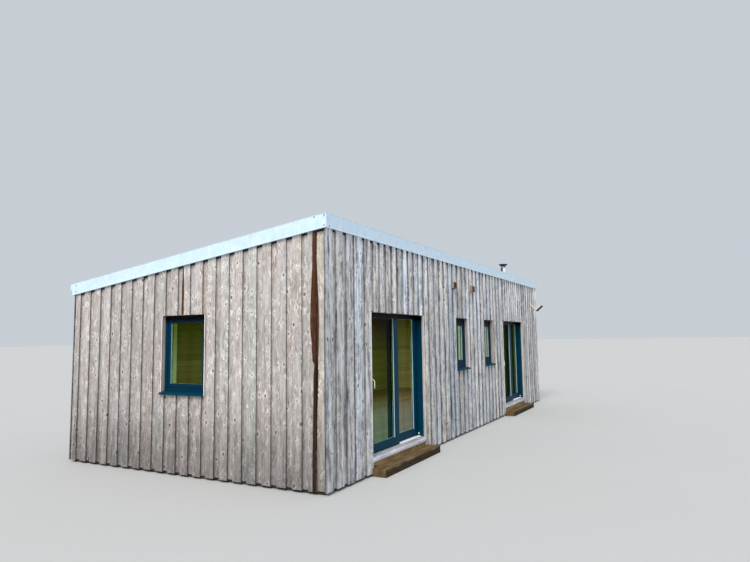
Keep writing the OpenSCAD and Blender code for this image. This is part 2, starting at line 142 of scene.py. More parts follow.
class Shader:
    """A material with a Principled shader and short calls for the nodes that feed it."""

    def __init__(self, name, roughness=0.6, metallic=0.0, **sockets):
        self.mat = bpy.data.materials.new(name)
        self.mat.use_nodes = True
        self.tree = self.mat.node_tree
        self.bsdf = self.tree.nodes["Principled BSDF"]
        self.set("Roughness", roughness)
        self.set("Metallic", metallic)
        for key, value in sockets.items():
            self.set(key.replace("_", " "), value)
        self.here = self.node("TexCoord").outputs["Object"]

    def set(self, socket, value):
        self.bsdf.inputs[socket].default_value = value

    def give(self, socket, source):
        self.tree.links.new(source, self.bsdf.inputs[socket])

    def done(self, colour, height=None, distance=0.0, strength=0.0):
        """Connects the colour and the small relief, and hands back the material."""
        self.give("Base Color", colour)
        if height is not None:
            bump = self.node("Bump", {"Height": height, "Distance": distance, "Strength": strength})
            self.give("Normal", bump.outputs[0])
        return self.mat

    def node(self, kind, values=None, **settings):
        n = self.tree.nodes.new("ShaderNode" + kind)
        for key, value in settings.items():
            setattr(n, key, value)
        for key, value in (values or {}).items():
            if isinstance(value, bpy.types.NodeSocket):
                self.tree.links.new(value, n.inputs[key])
            else:
                n.inputs[key].default_value = value
        return n

    def math(self, operation, *values):
        return self.node("Math", dict(enumerate(values)), operation=operation).outputs[0]

    def mul(self, a, b):
        return self.math("MULTIPLY", a, b)

    def mad(self, a, b, c):
        """a times b plus c."""
        return self.math("MULTIPLY_ADD", a, b, c)

    def sub(self, a, b):
        return self.math("SUBTRACT", a, b)

    def apart(self, a, b):
        """How far two values are from each other."""
        return self.math("ABSOLUTE", self.sub(a, b))

    def step(self, value, low, high, to_low=0.0, to_high=1.0):
        """A soft step from one value to another while the input goes from low to high."""
        return self.node("MapRange", {0: value, 1: low, 2: high, 3: to_low, 4: to_high},
                         interpolation_type="SMOOTHSTEP").outputs[0]

    def mix(self, factor, a, b, blend="MIX"):
        n = self.node("Mix", data_type="RGBA", blend_type=blend)
        for index, value in ((0, factor), (6, a), (7, b)):
            if isinstance(value, bpy.types.NodeSocket):
                self.tree.links.new(value, n.inputs[index])
            else:
                n.inputs[index].default_value = value if index == 0 else (*value, 1.0)
        return n.outputs[2]

    def tint(self, factor, colour, other):
        return self.mix(factor, colour, other, "MULTIPLY")

    def noise(self, vector, detail=2.0, roughness=0.5, distortion=0.0):
        return self.node("TexNoise", {"Vector": vector, "Scale": 1.0, "Detail": detail,
                                      "Roughness": roughness, "Distortion": distortion}).outputs[0]

    def vector(self, operation, *values):
        return self.node("VectorMath", dict(enumerate(values)), operation=operation).outputs[0]

    def fog(self, vector, scale, *settings):
        """Noise over a place that is stretched along each axis."""
        return self.noise(self.vector("MULTIPLY", vector, scale), *settings)

    def place(self, x, y, z):
        return self.node("CombineXYZ", {0: x, 1: y, 2: z}).outputs[0]

    def parts(self, vector):
        return self.node("SeparateXYZ", {0: vector}).outputs

    def ramp(self, factor, stops):
        n = self.node("ValToRGB", {0: factor})
        elements = n.color_ramp.elements
        while len(elements) < len(stops):
            elements.new(0.5)
        for element, (at, colour) in zip(elements, stops):
            element.position = at
            element.color = (*colour, 1.0)
        return n.outputs[0]


def tone(*values):
    """A colour as it looks on a screen, turned into the light that the shaders use."""
    return tuple(v / 12.92 if v <= 0.04045 else ((v + 0.055) / 1.055) ** 2.4 for v in values)


def grey(value):
    return (value, value, value)


def scaled(colour, share, most=1.0):
    """A lighter or darker colour."""
    return tuple(min(most, v * share) for v in colour)


# Materials

# Cells that may hold a knot, for each metre across and along a board
CELL_U, CELL_V = 8.0, 3.4
CHECK_BROWN = tone(0.24, 0.20, 0.18)
KNOT_BROWN = tone(0.27, 0.22, 0.20)


def knot_field(s, across, along, seed, flat, share, size):
    """Knots: each cell of a stretched pattern may hold one, and its true distance is in metres."""
    cells = s.place(s.mad(across, CELL_U, s.mul(seed, 91.0)), s.mul(along, CELL_V), 0.0)
    pattern = s.node("TexVoronoi", {"Vector": cells, "Scale": 1.0, "Randomness": 1.0},
                     voronoi_dimensions="2D")
    away = s.vector("SUBTRACT", cells, pattern.outputs["Position"])
    metres = s.vector("MULTIPLY", away, (1 / CELL_U / size, 0.7 / CELL_V / size, 0))
    distance = s.node("VectorMath", {0: metres}, operation="LENGTH").outputs[1]
    distance = s.mad(s.fog(flat, (70, 45, 1)), 0.016, s.sub(distance, 0.008))
    chance_r, chance_g, _ = s.parts(pattern.outputs["Color"])
    there = s.math("LESS_THAN", chance_g, share)
    radius = s.mad(s.math("POWER", chance_r, 2.0), 0.012, 0.003)
    knot = s.mul(there, s.step(s.math("DIVIDE", distance, radius), 1.2, 0.6))
    return there, distance, knot


def weathered_boards(name, light, middle, dark, knot_share=0.6, foot=0.0, old_edge=False,
                     contrast=1.0, cream=tone(0.95, 0.91, 0.82), mottle=1.0, top_light=0.0,
                     vary=0.30, cool=None, knot_size=1.0, glint=1.22):
    """Sawn softwood that has gone silver: flames of grain, streaks, flecks, small knots, checks."""
    s = Shader(name, roughness=0.85, Specular_IOR_Level=0.25)
    across, along, _ = s.parts(s.node("UVMap", uv_map="grain").outputs[0])
    seed, board_tone, warmth = s.parts(s.node("Attribute", attribute_name="board").outputs[1])
    far = s.mul(seed, 61.0)
    flat = s.place(across, along, far)
    there, distance, knot = knot_field(s, across, along, seed, flat, knot_share, knot_size)
    swirl = s.mul(there, s.step(distance, 0.085, 0.0))
    # Growth rings cut almost flat make flames: the pith's depth wanders along the board
    drift = s.noise(s.place(0.0, s.mul(along, 0.55), far), 1.0)
    depth = s.mad(swirl, 0.022, s.mad(drift, 0.16, -0.035))
    side = s.mad(s.fog(flat, (3, 0.7, 1)), 0.06, s.sub(across, 0.03))
    reach = s.math("SQRT", s.math("ADD", s.mul(side, side), s.mul(depth, depth)))
    fine = s.fog(flat, (420, 12, 1), 2.0, 0.6)
    rings = s.math("FRACT", s.mad(reach, 165.0, s.mul(fine, 0.35)))
    late = s.mul(s.step(rings, 0.35, 0.9), s.step(rings, 1.0, 0.93))
    # Streaks and patches of weather
    patches = s.fog(flat, (16, 1.5, 1), 3.0, 0.55)
    streaks = s.fog(flat, (62, 2.2, 1), 3.0, 0.6)
    blots = s.fog(flat, (26, 9, 1), 3.0, 0.65)
    weather = s.mad(streaks, 0.29, s.mul(patches, 0.31))
    weather = s.mad(fine, 0.13, s.mad(blots, 0.27 * mottle, weather))
    spread = 0.12 / contrast
    centre = 0.365 + 0.135 * mottle
    colour = s.ramp(weather, [(centre - spread, dark), (centre, middle), (centre + spread, light)])
    # Loose flecks that lean towards the middle of the board, as cut grain does round knots
    fold = s.math("SQRT", s.mad(side, side, 0.0002))
    lean = s.mad(fold, 20.0, s.mul(along, 12.0))
    flecks = s.noise(s.place(s.mul(across, 46.0), s.mul(lean, 1.3), far), 2.0, 0.6, 0.6)
    stains = s.noise(s.place(s.mul(across, 38.0), lean, s.math("ADD", far, 9.0)), 2.0, 0.6, 0.5)
    where = s.math("MAXIMUM", s.step(s.fog(flat, (8, 2.6, 1)), 0.48, 0.60, 0.22, 1.0), swirl)
    pale = scaled(light, glint, 0.93)
    layers = ((late, 0.26, dark),
              (s.mul(s.step(stains, 0.56, 0.64), where), 0.60 * mottle, scaled(dark, 0.75)),
              (s.mul(s.step(flecks, 0.56, 0.63), where), 0.90 * mottle, pale),
              (s.mul(there, s.step(distance, 0.036, 0.010)), 0.42, pale))
    for share, most, over in layers:
        colour = s.mix(s.mul(share, most), colour, over)
    warm = s.mul(warmth, s.step(s.fog(flat, (9, 0.9, 1)), 0.30, 0.62))
    colour = s.tint(warm, colour, cream)
    checks = s.apart(s.fog(flat, (55, 0.8, 1), 1.0), 0.5)
    checks = s.mul(s.step(checks, 0.006, 0.0015), s.step(s.fog(flat, (20, 2.2, 3), 1.0), 0.55, 0.62))
    colour = s.mix(s.mul(checks, 0.75), colour, CHECK_BROWN)
    colour = s.mix(s.mul(knot, 0.82), colour, KNOT_BROWN)
    if cool:
        blue = s.mul(s.step(warmth, 0.30, 0.05), s.step(s.fog(flat, (22, 1.1, 1)), 0.38, 0.58))
        colour = s.tint(blue, colour, cool)
    shade = s.mul(s.mad(board_tone, vary, 1.0 - vary / 2), rim_shade(s, across))
    # Painted shade towards the foot of the wall, and painted light towards its head
    if foot:
        height = s.parts(s.here)[2]
        level = s.mad(s.fog(flat, (12, 1.1, 1), 3.0), 1.3, height)
        shade = s.mul(shade, s.mad(s.step(level, 2.1, 0.55), -foot, 1.0))
        shade = s.mul(shade, s.mad(s.step(level, 2.4, 3.9), top_light, 1.0))
    colour = s.tint(1.0, colour, s.node("CombineColor", {0: shade, 1: shade, 2: shade}).outputs[0])
    if old_edge:
        colour = old_edges(s, colour)
    relief = s.mad(checks, -2.2, s.mad(late, 0.35, s.mul(fine, 0.6)))
    return s.done(colour, s.mad(knot, 0.7, relief), 0.0016, 0.6)


def rim_shade(s, across):
    """Painted shade: inner boards darken towards the outer boards that cover them, and side faces
    darken.
    """
    rim = s.node("Attribute", attribute_name="rim").outputs[2]
    corner = s.sub(rim, s.math("ABSOLUTE", across))
    corner = s.mul(s.step(corner, 0.009, 0.0), s.math("GREATER_THAN", rim, 0.0))
    edge = s.math("LESS_THAN", rim, -0.5)
    return s.sub(1.0, s.mad(edge, 0.58, s.mul(corner, 0.18)))


# The full height streak: the depth of its far and its near side at a list of heights
STREAK_H = 3.6
STREAK_FAR = ((0.0, 0.224), (0.40, 0.222), (0.78, 0.212), (1.25, 0.205), (1.50, 0.200), (1.63, 0.187),
              (1.67, 0.216), (1.90, 0.229), (2.06, 0.244), (2.20, 0.251), (2.42, 0.244),
              (2.66, 0.229), (2.90, 0.216), (3.15, 0.215), (3.36, 0.205))
STREAK_NEAR = ((0.0, 0.166), (0.90, 0.162), (1.15, 0.150), (1.50, 0.138), (1.70, 0.140), (2.04, 0.128),
               (2.20, 0.125), (2.42, 0.131), (2.73, 0.145), (2.98, 0.160), (3.15, 0.156),
               (3.36, 0.154))
SHORT_STREAK_Y = 2.538


def height_curve(s, share, stops):
    """A value that follows the height, from a list of heights and values."""
    return s.ramp(share, [(height / STREAK_H, grey(value)) for height, value in stops])


def old_edges(s, colour):
    """Two streaks of dark red-brown down the left end: by the near corner and over the window."""
    x, y, z = s.parts(s.here)
    depth = s.math("ADD", y, HUT_D / 2)
    high = s.math("DIVIDE", z, STREAK_H)
    far_side = height_curve(s, high, STREAK_FAR)
    near_side = height_curve(s, high, STREAK_NEAR)
    ragged = s.fog(s.place(depth, z, 0.0), (30, 9, 1), 3.0, 0.6)
    depth = s.mad(ragged, 0.014, s.sub(depth, 0.007))
    streak = s.mul(s.step(depth, s.sub(near_side, 0.003), near_side),
                   s.step(depth, far_side, s.sub(far_side, 0.003)))
    top_width = s.step(z, 3.12, 2.7, 0.022, 0.037)
    off = s.apart(depth, SHORT_STREAK_Y)
    second = s.mul(s.step(off, top_width, s.sub(top_width, 0.005)),
                   s.step(z, HEAD_Z - 0.005, HEAD_Z + 0.010))
    outer = s.step(x, -HUT_L / 2 + 0.018, -HUT_L / 2 + 0.010)
    spill = s.math("MAXIMUM", outer, s.step(depth, 0.18, 0.17))
    mask = s.math("MAXIMUM", s.mul(streak, spill), second)
    colour = s.tint(s.mul(s.step(depth, 0.36, 0.10), 0.32), colour, tone(0.95, 0.955, 0.86))
    mottled = s.fog(s.here, (25, 25, 6), 4.0, 0.65)
    brown = s.ramp(mottled, [(0.3, tone(0.19, 0.10, 0.07)), (0.5, tone(0.27, 0.155, 0.11)),
                             (0.72, tone(0.40, 0.26, 0.17))])
    brown = s.tint(s.step(z, 1.9, 3.2), brown, tone(1.0, 1.0, 0.72))
    olive = s.math("MAXIMUM", s.step(z, 2.1, 3.3), s.step(depth, 1.0, 1.2))
    brown = s.mix(s.mul(olive, 0.8), brown, tone(0.31, 0.20, 0.125))
    brown = s.mix(s.mul(s.step(z, 1.9, 1.5), 0.85), brown, tone(0.16, 0.085, 0.055))
    return s.mix(mask, colour, brown)


def plain_timber(name, light, dark, board, axis, groove=0.004):
    """Planed or sawn boards told apart by grooves; axis counts across the boards."""
    s = Shader(name)
    values = s.parts(s.here)
    across = s.math("DIVIDE", values[axis], board)
    number = s.math("FLOOR", across)
    inside = s.math("FRACT", across)
    long_axis = 0 if axis != 0 else 1
    third = 3 - axis - long_axis
    length = s.mad(number, 3.7, values[long_axis])
    grain = s.place(s.mul(values[axis], 60.0), s.mul(length, 2.2),
                    s.mad(values[third], 8.0, s.mul(number, 5.3)))
    figure = s.noise(grain, 4.0, 0.6, 0.6)
    each = s.noise(s.place(number, 4.5, 8.5), 0.0)
    colour = s.ramp(s.mad(each, 0.5, s.mul(figure, 0.6)), [(0.3, dark), (0.75, light)])
    edge = s.mul(s.math("MINIMUM", inside, s.sub(1.0, inside)), board)
    gap = s.step(edge, groove, groove * 0.4)
    colour = s.mix(s.mul(gap, 0.7), colour, tone(0.13, 0.09, 0.06))
    return s.done(colour, s.mad(gap, -3.0, s.mul(figure, 0.4)), 0.001, 0.6)


def painted_metal(name, colour, roughness=0.35, dirt=0.12, dirt_colour=tone(0.42, 0.40, 0.36),
                  metallic=0.0, gloss=0.5, head=None, dark_reflection=False):
    """Coated sheet or profile: faint mottling, dust that runs down, painted head shade, painted side
    reflection.
    """
    s = Shader(name, metallic=metallic, Coat_Weight=0.3 * gloss, Coat_Roughness=0.2,
               Specular_IOR_Level=gloss)
    mottled = s.fog(s.here, (9, 9, 9), 4.0, 0.6)
    runs = s.fog(s.here, (26, 26, 1.6), 4.0, 0.62)
    specks = s.fog(s.here, (240, 240, 240), 2.0, 0.6)
    base = s.mix(s.step(mottled, 0.3, 0.7), scaled(colour, 0.93), scaled(colour, 1.05))
    base = s.mix(s.mul(s.step(runs, 0.5, 0.72), dirt), base, dirt_colour)
    # Painted reflection: faces turned one way are darkened, as if mirroring dark ground
    if dark_reflection:
        east, north, _ = s.parts(s.node("NewGeometry").outputs["Normal"])
        turned = s.mad(north, 0.88, s.mul(east, -0.47))
        base = s.mix(s.step(turned, 0.20, 0.50), base, tone(0.16, 0.27, 0.38))
    # Painted shade: the colour darkens towards the head of the openings
    if head:
        high = s.step(s.parts(s.here)[2], HEAD_Z - head[0], HEAD_Z - head[1])
        base = s.mix(high, base, tone(0.01, 0.02, 0.06))
    s.give("Roughness", s.mad(mottled, 0.18, roughness - 0.06))
    return s.done(base, s.mad(specks, 0.3, mottled), 0.0006, 0.25)


def steel(name, colour, roughness, streak):
    """Bare steel that has dulled outdoors, drawn along its length."""
    s = Shader(name, metallic=1.0)
    drawn = s.fog(s.here, (90, 90, 3), 4.0, 0.6)
    stains = s.fog(s.here, (14, 14, 6), 5.0, 0.6)
    base = s.mix(s.mul(s.step(stains, 0.42, 0.68), streak), colour, tone(0.36, 0.31, 0.27))
    base = s.mix(s.mul(drawn, 0.2), base, scaled(colour, 0.7))
    s.give("Roughness", s.mad(stains, 0.25, roughness))
    return s.done(base, drawn, 0.0004, 0.3)


def rough_stone(name, light, dark, pit_scale=60.0):
    """Cast concrete or sheet lead: blotches and small pits."""
    s = Shader(name, roughness=0.85)
    blotches = s.fog(s.here, (4, 4, 8), 5.0, 0.6)
    pits = s.node("TexVoronoi", {"Vector": s.here, "Scale": pit_scale}).outputs[0]
    colour = s.ramp(blotches, [(0.3, dark), (0.7, light)])
    colour = s.mix(s.mul(s.step(pits, 0.16, 0.05), 0.5), colour, scaled(dark, 0.5))
    return s.done(colour, s.mad(s.step(pits, 0.25, 0.0), -1.0, blotches), 0.002, 0.5)


def window_glass(name, high, middle, low, far=tone(0.30, 0.46, 0.16), far_x=1.5, ior=1.07,
                 shaded=()):
    """Double glazing with a trace of dust, whose body colour is painted reflection: green that gets
    lighter towards the foot, another green past far_x, and dark bands at the shaded places.
    """
    s = Shader(name, Transmission_Weight=1.0, IOR=ior, Specular_IOR_Level=0.25)
    x, _, z = s.parts(s.here)
    dust = s.fog(s.here, (5, 5, 3), 5.0, 0.65)
    level = s.mad(dust, 0.08, s.math("DIVIDE", z, 2.4))
    body = s.ramp(level, [(0.38, low), (0.50, middle), (0.70, middle), (0.93, high)])
    body = s.mix(s.step(x, far_x, far_x + 0.8), body, far)
    for centre in shaded:
        body = s.mix(s.step(s.apart(x, centre), 0.22, 0.17), body, tone(0.20, 0.24, 0.05))
    uneven = s.step(s.fog(s.here, (7, 7, 0.9), 3.0, 0.6), 0.35, 0.65)
    s.give("Roughness", s.step(dust, 0.5, 0.9, 0.0, 0.05))
    return s.done(s.tint(s.mul(uneven, 0.28), body, grey(0.42)))


def threshold_paint(name):
    """White sills; above them the block that stops the leaf is blue with a white button."""
    s = Shader(name, roughness=0.4, Specular_IOR_Level=0.3)
    _, y, z = s.parts(s.here)
    dust = s.fog(s.here, (12, 12, 12), 4.0, 0.6)
    paint = tone(0.92, 0.94, 0.94)
    white = s.mix(s.mul(s.step(dust, 0.45, 0.7), 0.3), paint, tone(0.66, 0.66, 0.62))
    block = s.step(z, 0.276, 0.280)
    button = s.mul(s.step(z, 0.300, 0.304), s.step(z, 0.332, 0.328))
    button = s.mul(button, s.step(s.apart(y, 0.118 - HUT_D / 2), 0.012, 0.010))
    blue = s.mix(button, tone(0.0, 0.215, 0.28), paint)
    return s.done(s.mix(block, white, blue), dust, 0.0004, 0.3)


def vent_plastic(name):
    """Faded brown plastic; the faces turned to the front are dark: painted shadow of the louvred front.
    """
    s = Shader(name, roughness=0.6, Specular_IOR_Level=0.2)
    _, facing, _ = s.parts(s.node("NewGeometry").outputs["Normal"])
    fade = s.fog(s.here, (30, 30, 12), 3.0, 0.6)
    side = s.mix(fade, tone(0.58, 0.46, 0.40), tone(0.70, 0.58, 0.52))
    dark = s.mix(fade, tone(0.15, 0.09, 0.07), tone(0.25, 0.15, 0.12))
    return s.done(s.mix(s.step(facing, -0.75, -0.95), side, dark), fade, 0.0005, 0.3)


def rubber(name):
    s = Shader(name, roughness=0.7)
    grain = s.fog(s.here, (180, 180, 60), 3.0)
    return s.done(s.mix(grain, tone(0.06, 0.06, 0.07), tone(0.14, 0.14, 0.15)), grain, 0.0004, 0.4)


def old_sleeper(name, lift=1.0):
    """Dark hardwood, worn and split along its length, with moss in the wet places."""
    s = Shader(name, roughness=0.9, Specular_IOR_Level=0.2)
    grain = s.fog(s.here, (2.2, 70, 70), 5.0, 0.65, 0.4)
    broad = s.fog(s.here, (2.5, 9, 9), 4.0, 0.6)
    colour = s.ramp(s.mad(grain, 0.6, s.mul(broad, 0.4)),
                    [(0.32, tone(0.20, 0.15, 0.09)), (0.5, tone(0.40, 0.325, 0.21)),
                     (0.66, tone(0.55, 0.475, 0.36))])
    split = s.step(s.apart(s.fog(s.here, (0.9, 24, 24), 1.0), 0.5), 0.012, 0.003)
    colour = s.mix(s.mul(split, 0.85), colour, tone(0.06, 0.05, 0.04))
    moss = s.mul(s.step(s.fog(s.here, (7, 16, 16), 5.0, 0.7), 0.56, 0.68), 0.4)
    colour = s.mix(moss, colour, tone(0.36, 0.33, 0.12))
    # Painted shade: the step's front face is darkened
    _, depth, height = s.parts(s.here)
    front = s.mul(s.step(depth, -HUT_D / 2 - 0.212, -HUT_D / 2 - 0.222),
                  s.step(height, STEP_H - 0.002, STEP_H - 0.012))
    colour = s.mix(s.mul(front, 0.75), colour, tone(0.08, 0.07, 0.05))
    # lift makes the wood lighter: painted light
    colour = s.tint(1.0, colour, grey(lift))
    return s.done(colour, s.mad(split, -3.0, grain), 0.003, 0.8)


# The left end's warmer tone and the front's bluer one are weathering and, in part, painted sunlight and
# skylight
LEFT_WOOD = weathered_boards(
    "left_end_boards", tone(0.805, 0.792, 0.787), tone(0.708, 0.690, 0.684), tone(0.54, 0.515, 0.50),
    foot=0.55, old_edge=True, top_light=0.14, knot_share=0.62, cream=tone(0.98, 0.93, 0.895),
    cool=tone(0.965, 1.0, 0.975), knot_size=1.5, glint=1.33)
FRONT_WOOD = weathered_boards(
    "front_boards", tone(0.965, 0.975, 1.0), tone(0.80, 0.805, 0.84), tone(0.42, 0.42, 0.43),
    foot=0.06, contrast=1.6, vary=0.42, mottle=0.75, cream=tone(0.985, 0.95, 0.88), knot_share=0.6,
    top_light=0.25, cool=tone(0.92, 0.97, 1.0), knot_size=1.6)
REAR_WOOD = weathered_boards("rear_boards", tone(0.86, 0.84, 0.83), tone(0.73, 0.71, 0.70),
                             tone(0.53, 0.50, 0.49), foot=0.30)
FRESH_WOOD = weathered_boards("reveal_boards", tone(0.94, 0.91, 0.89), tone(0.86, 0.82, 0.80),
                              tone(0.68, 0.63, 0.60), knot_share=0.2, mottle=0.5)
CILL_WOOD = weathered_boards("cill_boards", tone(0.86, 0.86, 0.90), tone(0.72, 0.72, 0.77),
                             tone(0.50, 0.49, 0.54), knot_share=0.15, mottle=0.6)
LINING = plain_timber("wall_lining", tone(0.72, 0.66, 0.50), tone(0.54, 0.47, 0.34), 0.12, 2)
CEILING = plain_timber("roof_timber", tone(0.50, 0.40, 0.28), tone(0.30, 0.22, 0.14), 0.14, 1)
PLANKS = plain_timber("floor_planks", tone(0.50, 0.36, 0.22), tone(0.28, 0.18, 0.10), 0.16, 1, 0.002)
JOISTS = plain_timber("floor_timber", tone(0.44, 0.36, 0.27), tone(0.24, 0.18, 0.13), 0.145, 2, 0.001)
# Painted shade at the frames' heads; the windows' darker copy of the blue is painted shade too
BLUE = painted_metal("blue_frame", tone(0.0, 0.215, 0.305), 0.5, 0.10, tone(0.10, 0.34, 0.38),
                     gloss=0.06, head=(0.125, 0.055))
WINDOW_BLUE = painted_metal("window_blue", tone(0.0, 0.185, 0.27), 0.5, 0.10, tone(0.06, 0.26, 0.32),
                            gloss=0.05, head=(0.160, 0.045))
LIT_WHITE = painted_metal("lining_white", tone(0.90, 0.90, 0.88), 0.5, 0.10, gloss=0.2)
PALE = painted_metal("fascia_metal", tone(0.82, 0.908, 0.98), 0.32, 0.10, tone(0.60, 0.62, 0.62))
WHITE = painted_metal("white_metal", tone(0.98, 1.0, 0.83), 0.38, 0.06)
SILVER = painted_metal("bead_metal", tone(0.72, 0.83, 0.86), 0.40, 0.05, gloss=0.2)
ROOFING = painted_metal("roof_metal", tone(0.56, 0.59, 0.62), 0.40, 0.25, tone(0.36, 0.35, 0.31))
BROWN = vent_plastic("vent_brown")
LAMP_METAL = painted_metal("light_metal", tone(0.90, 0.87, 0.72), 0.35, 0.15)
STEEL = painted_metal("flue_steel", tone(0.94, 0.96, 0.98), 0.34, 0.10, metallic=0.15, gloss=0.6,
                      dark_reflection=True)
CAP_STEEL = steel("cowl_steel", tone(0.30, 0.34, 0.38), 0.45, 0.3)
SCREW_STEEL = steel("screw_steel", tone(0.34, 0.31, 0.29), 0.45, 0.5)
LEAD = rough_stone("lead", tone(0.50, 0.52, 0.54), tone(0.36, 0.37, 0.39), 40.0)
# The slab's concrete is toned dark: painted shade of the gap under the boards
SHADED_SLAB = rough_stone("slab", tone(0.30, 0.29, 0.27), tone(0.17, 0.16, 0.15))
# The glazing's colours are painted reflection; the right door's leaf glass is the darkest
GLASS = window_glass("glass", tone(0.37, 0.365, 0.02), tone(0.56, 0.72, 0.175), tone(0.72, 0.98, 0.91))
FIXED_GLASS = window_glass("fixed_glass", tone(0.755, 0.89, 0.29), tone(0.86, 0.98, 0.68),
                           tone(0.84, 1.0, 1.0))
PANE = window_glass("pane_glass", tone(0.37, 0.49, 0.14), tone(0.56, 0.67, 0.43),
                    tone(0.60, 0.70, 0.52), far=tone(0.70, 0.79, 0.66), far_x=-4.5,
                    shaded=[x - HUT_L / 2 + 0.20 for x in NARROW_X])
FAR_GLASS = window_glass("far_leaf_glass", *[tone(0.2, 0.4, 0.1)] * 3, far=tone(0.36, 0.55, 0.26),
                         ior=1.02)
SILL_PAINT = threshold_paint("threshold_paint")
RUBBER = rubber("gasket")
SLEEPER = old_sleeper("sleeper")
# Painted light: the strips under the door cills take the sleeper's wood 2.4 times lighter
FOOT_WOOD = old_sleeper("foot_wood", 2.4)

# Painted light: the linings of the openings glow, for the daylight that falls on them,
# which the soft studio light can't show
lit = LIT_WHITE.node_tree.nodes["Principled BSDF"].inputs
lit["Emission Color"].default_value = (0.88, 0.95, 1.0, 1.0)
lit["Emission Strength"].default_value = 0.42


# Mesh building


class Shape:
    """Gathers faces, each with the number of the board or part that it belongs to."""

    def __init__(self):
        self.verts = []
        self.faces = []
        self.tags = []

    def add(self, verts, faces, tag=0):
        start = len(self.verts)
        self.verts.extend(tuple(v) for v in verts)
        self.faces.extend(tuple(start + i for i in f) for f in faces)
        self.tags.extend([tag] * len(faces))

    def box(self, x0, x1, y0, y1, z0, z1, tag=0):
        corners = [(x, y, z) for z in (z0, z1) for y in (y0, y1) for x in (x0, x1)]
        self.add(corners, [(0, 2, 3, 1), (4, 5, 7, 6), (0, 1, 5, 4), (2, 6, 7, 3), (0, 4, 6, 2),
                           (1, 3, 7, 5)], tag)

    def prism(self, verts, n):
        """A closed body of rows of n points, with a face at either end."""
        last = len(verts) - n
        self.add(verts, quads(len(verts) // n, n)
                 + [tuple(range(n))[::-1], tuple(range(last, last + n))])

    def piece(self, name, material, slot, nodes=(), body="hut", wall=FRONT, bevel=0.0, segments=2,
              smooth=0):
        """Makes the object, rounds its edges, and has it ride on a body in place of CAD nodes."""
        faces = [f[::-1] for f in self.faces] if wall.flipped else self.faces
        mesh = bpy.data.meshes.new(name)
        mesh.from_pydata([tuple(p) for p in wall.world(self.verts)], [], faces)
        mesh.attributes.new("tag", "INT", "FACE").data.foreach_set("value", self.tags)
        return settle(mesh, name, material, slot, nodes, body, bevel, segments, smooth)


def quads(rows, n, closed=True):
    """Faces between rows of n points each, one row after the other."""
    return [(k * n + i, k * n + (i + 1) % n, (k + 1) * n + (i + 1) % n, (k + 1) * n + i)
            for k in range(rows - 1) for i in range(n if closed else n - 1)]


def linked(name, data):
    """A new object in the scene."""
    new = bpy.data.objects.new(name, data)
    bpy.context.scene.collection.objects.link(new)
    return new


def settle(mesh, name, material, slot, nodes, body, bevel, segments, smooth):
    """Puts a mesh in the scene as one piece of a body, with rounded edges and smooth faces."""
    mesh.validate()
    piece = linked(name, mesh)
    if bevel:
        rounding = piece.modifiers.new("rounding", "BEVEL")
        rounding.width = bevel
        rounding.segments = segments
        rounding.limit_method = "ANGLE"
        rounding.angle_limit = math.radians(30)
        graph = bpy.context.evaluated_depsgraph_get()
        done = bpy.data.meshes.new_from_object(piece.evaluated_get(graph))
        piece.modifiers.clear()
        piece.data = done
    if smooth:
        piece.data.shade_smooth()
        piece.data.set_sharp_from_angle(angle=math.radians(smooth))
    piece.data.materials.clear()
    piece.data.materials.append(material)
    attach(piece, body)
    if nodes:
        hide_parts(*nodes)
    return piece


def softened(node, name, material, slot, width, smooth=0):
    """A copy of a CAD node with its edges rounded, in the node's place."""
    work = bmesh.new()
    work.from_mesh(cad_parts[node].data)
    bmesh.ops.remove_doubles(work, verts=work.verts, dist=1e-6)
    bmesh.ops.dissolve_limit(work, angle_limit=math.radians(0.5), verts=work.verts,
                             edges=work.edges)
    mesh = bpy.data.meshes.new(name)
    work.to_mesh(mesh)
    work.free()
    return settle(mesh, name, material, slot, [node], "hut", width, 2, smooth)


def circle(count):
    """The cosine and sine of even turns."""
    turns = [2 * math.pi * k / count for k in range(count)]
    return [(math.cos(turn), math.sin(turn)) for turn in turns]


def ring(a0, a1, z0, z1, profile, open_foot=False, lower=0.0, members=(0, 1, 2, 3)):
    """Sweeps a closed profile of inset and depth round a rectangle, with mitred corners.

    The inner part of the profile reaches less far up from the foot when lower is given.
    The members are counted from the left one: left, head, right, foot.
    """
    shape = Shape()
    n = len(profile)
    foot = 0 if open_foot else 1
    path = [(a0, z0, 1, foot), (a0, z1, 1, -1), (a1, z1, -1, -1), (a1, z0, -1, foot)]
    verts = []
    for a, z, da, dz in path:
        for t, d in profile:
            less = lower if z == z0 and t > 0.05 else 0.0
            verts.append((a + da * t, d, z + dz * (t - less)))
    faces = []
    for c in members[:3] if open_foot else members:
        e = (c + 1) % 4
        faces += [(c * n + i, c * n + (i + 1) % n, e * n + (i + 1) % n, e * n + i) for i in range(n)]
    if open_foot:
        faces += [tuple(range(n))[::-1], tuple(range(3 * n, 4 * n))]
    shape.add(verts, faces)
    return shape


def tube(shape, points, radii, sides):
    """A round bar along a line of points, with a radius at each."""
    verts = []
    ways = [Vector(b) - Vector(a) for a, b in zip(points, points[1:])]
    turns = [a.normalized() + b.normalized() for a, b in zip(ways, ways[1:])]
    side = ways[0].orthogonal().normalized()
    for point, way, radius in zip(points, [ways[0], *turns, ways[-1]], radii):
        way = way.normalized()
        side = (side - way * side.dot(way)).normalized()
        up = way.cross(side)
        verts += [Vector(point) + (side * c + up * s) * radius for c, s in circle(sides)]
    shape.prism(verts, sides)


def lathe(shape, x, y, outline, sides):
    """Turns an outline of radius and height about an upright line."""
    verts = [(x + radius * c, y + radius * s, z) for radius, z in outline for c, s in circle(sides)]
    shape.add(verts, quads(len(outline), sides))


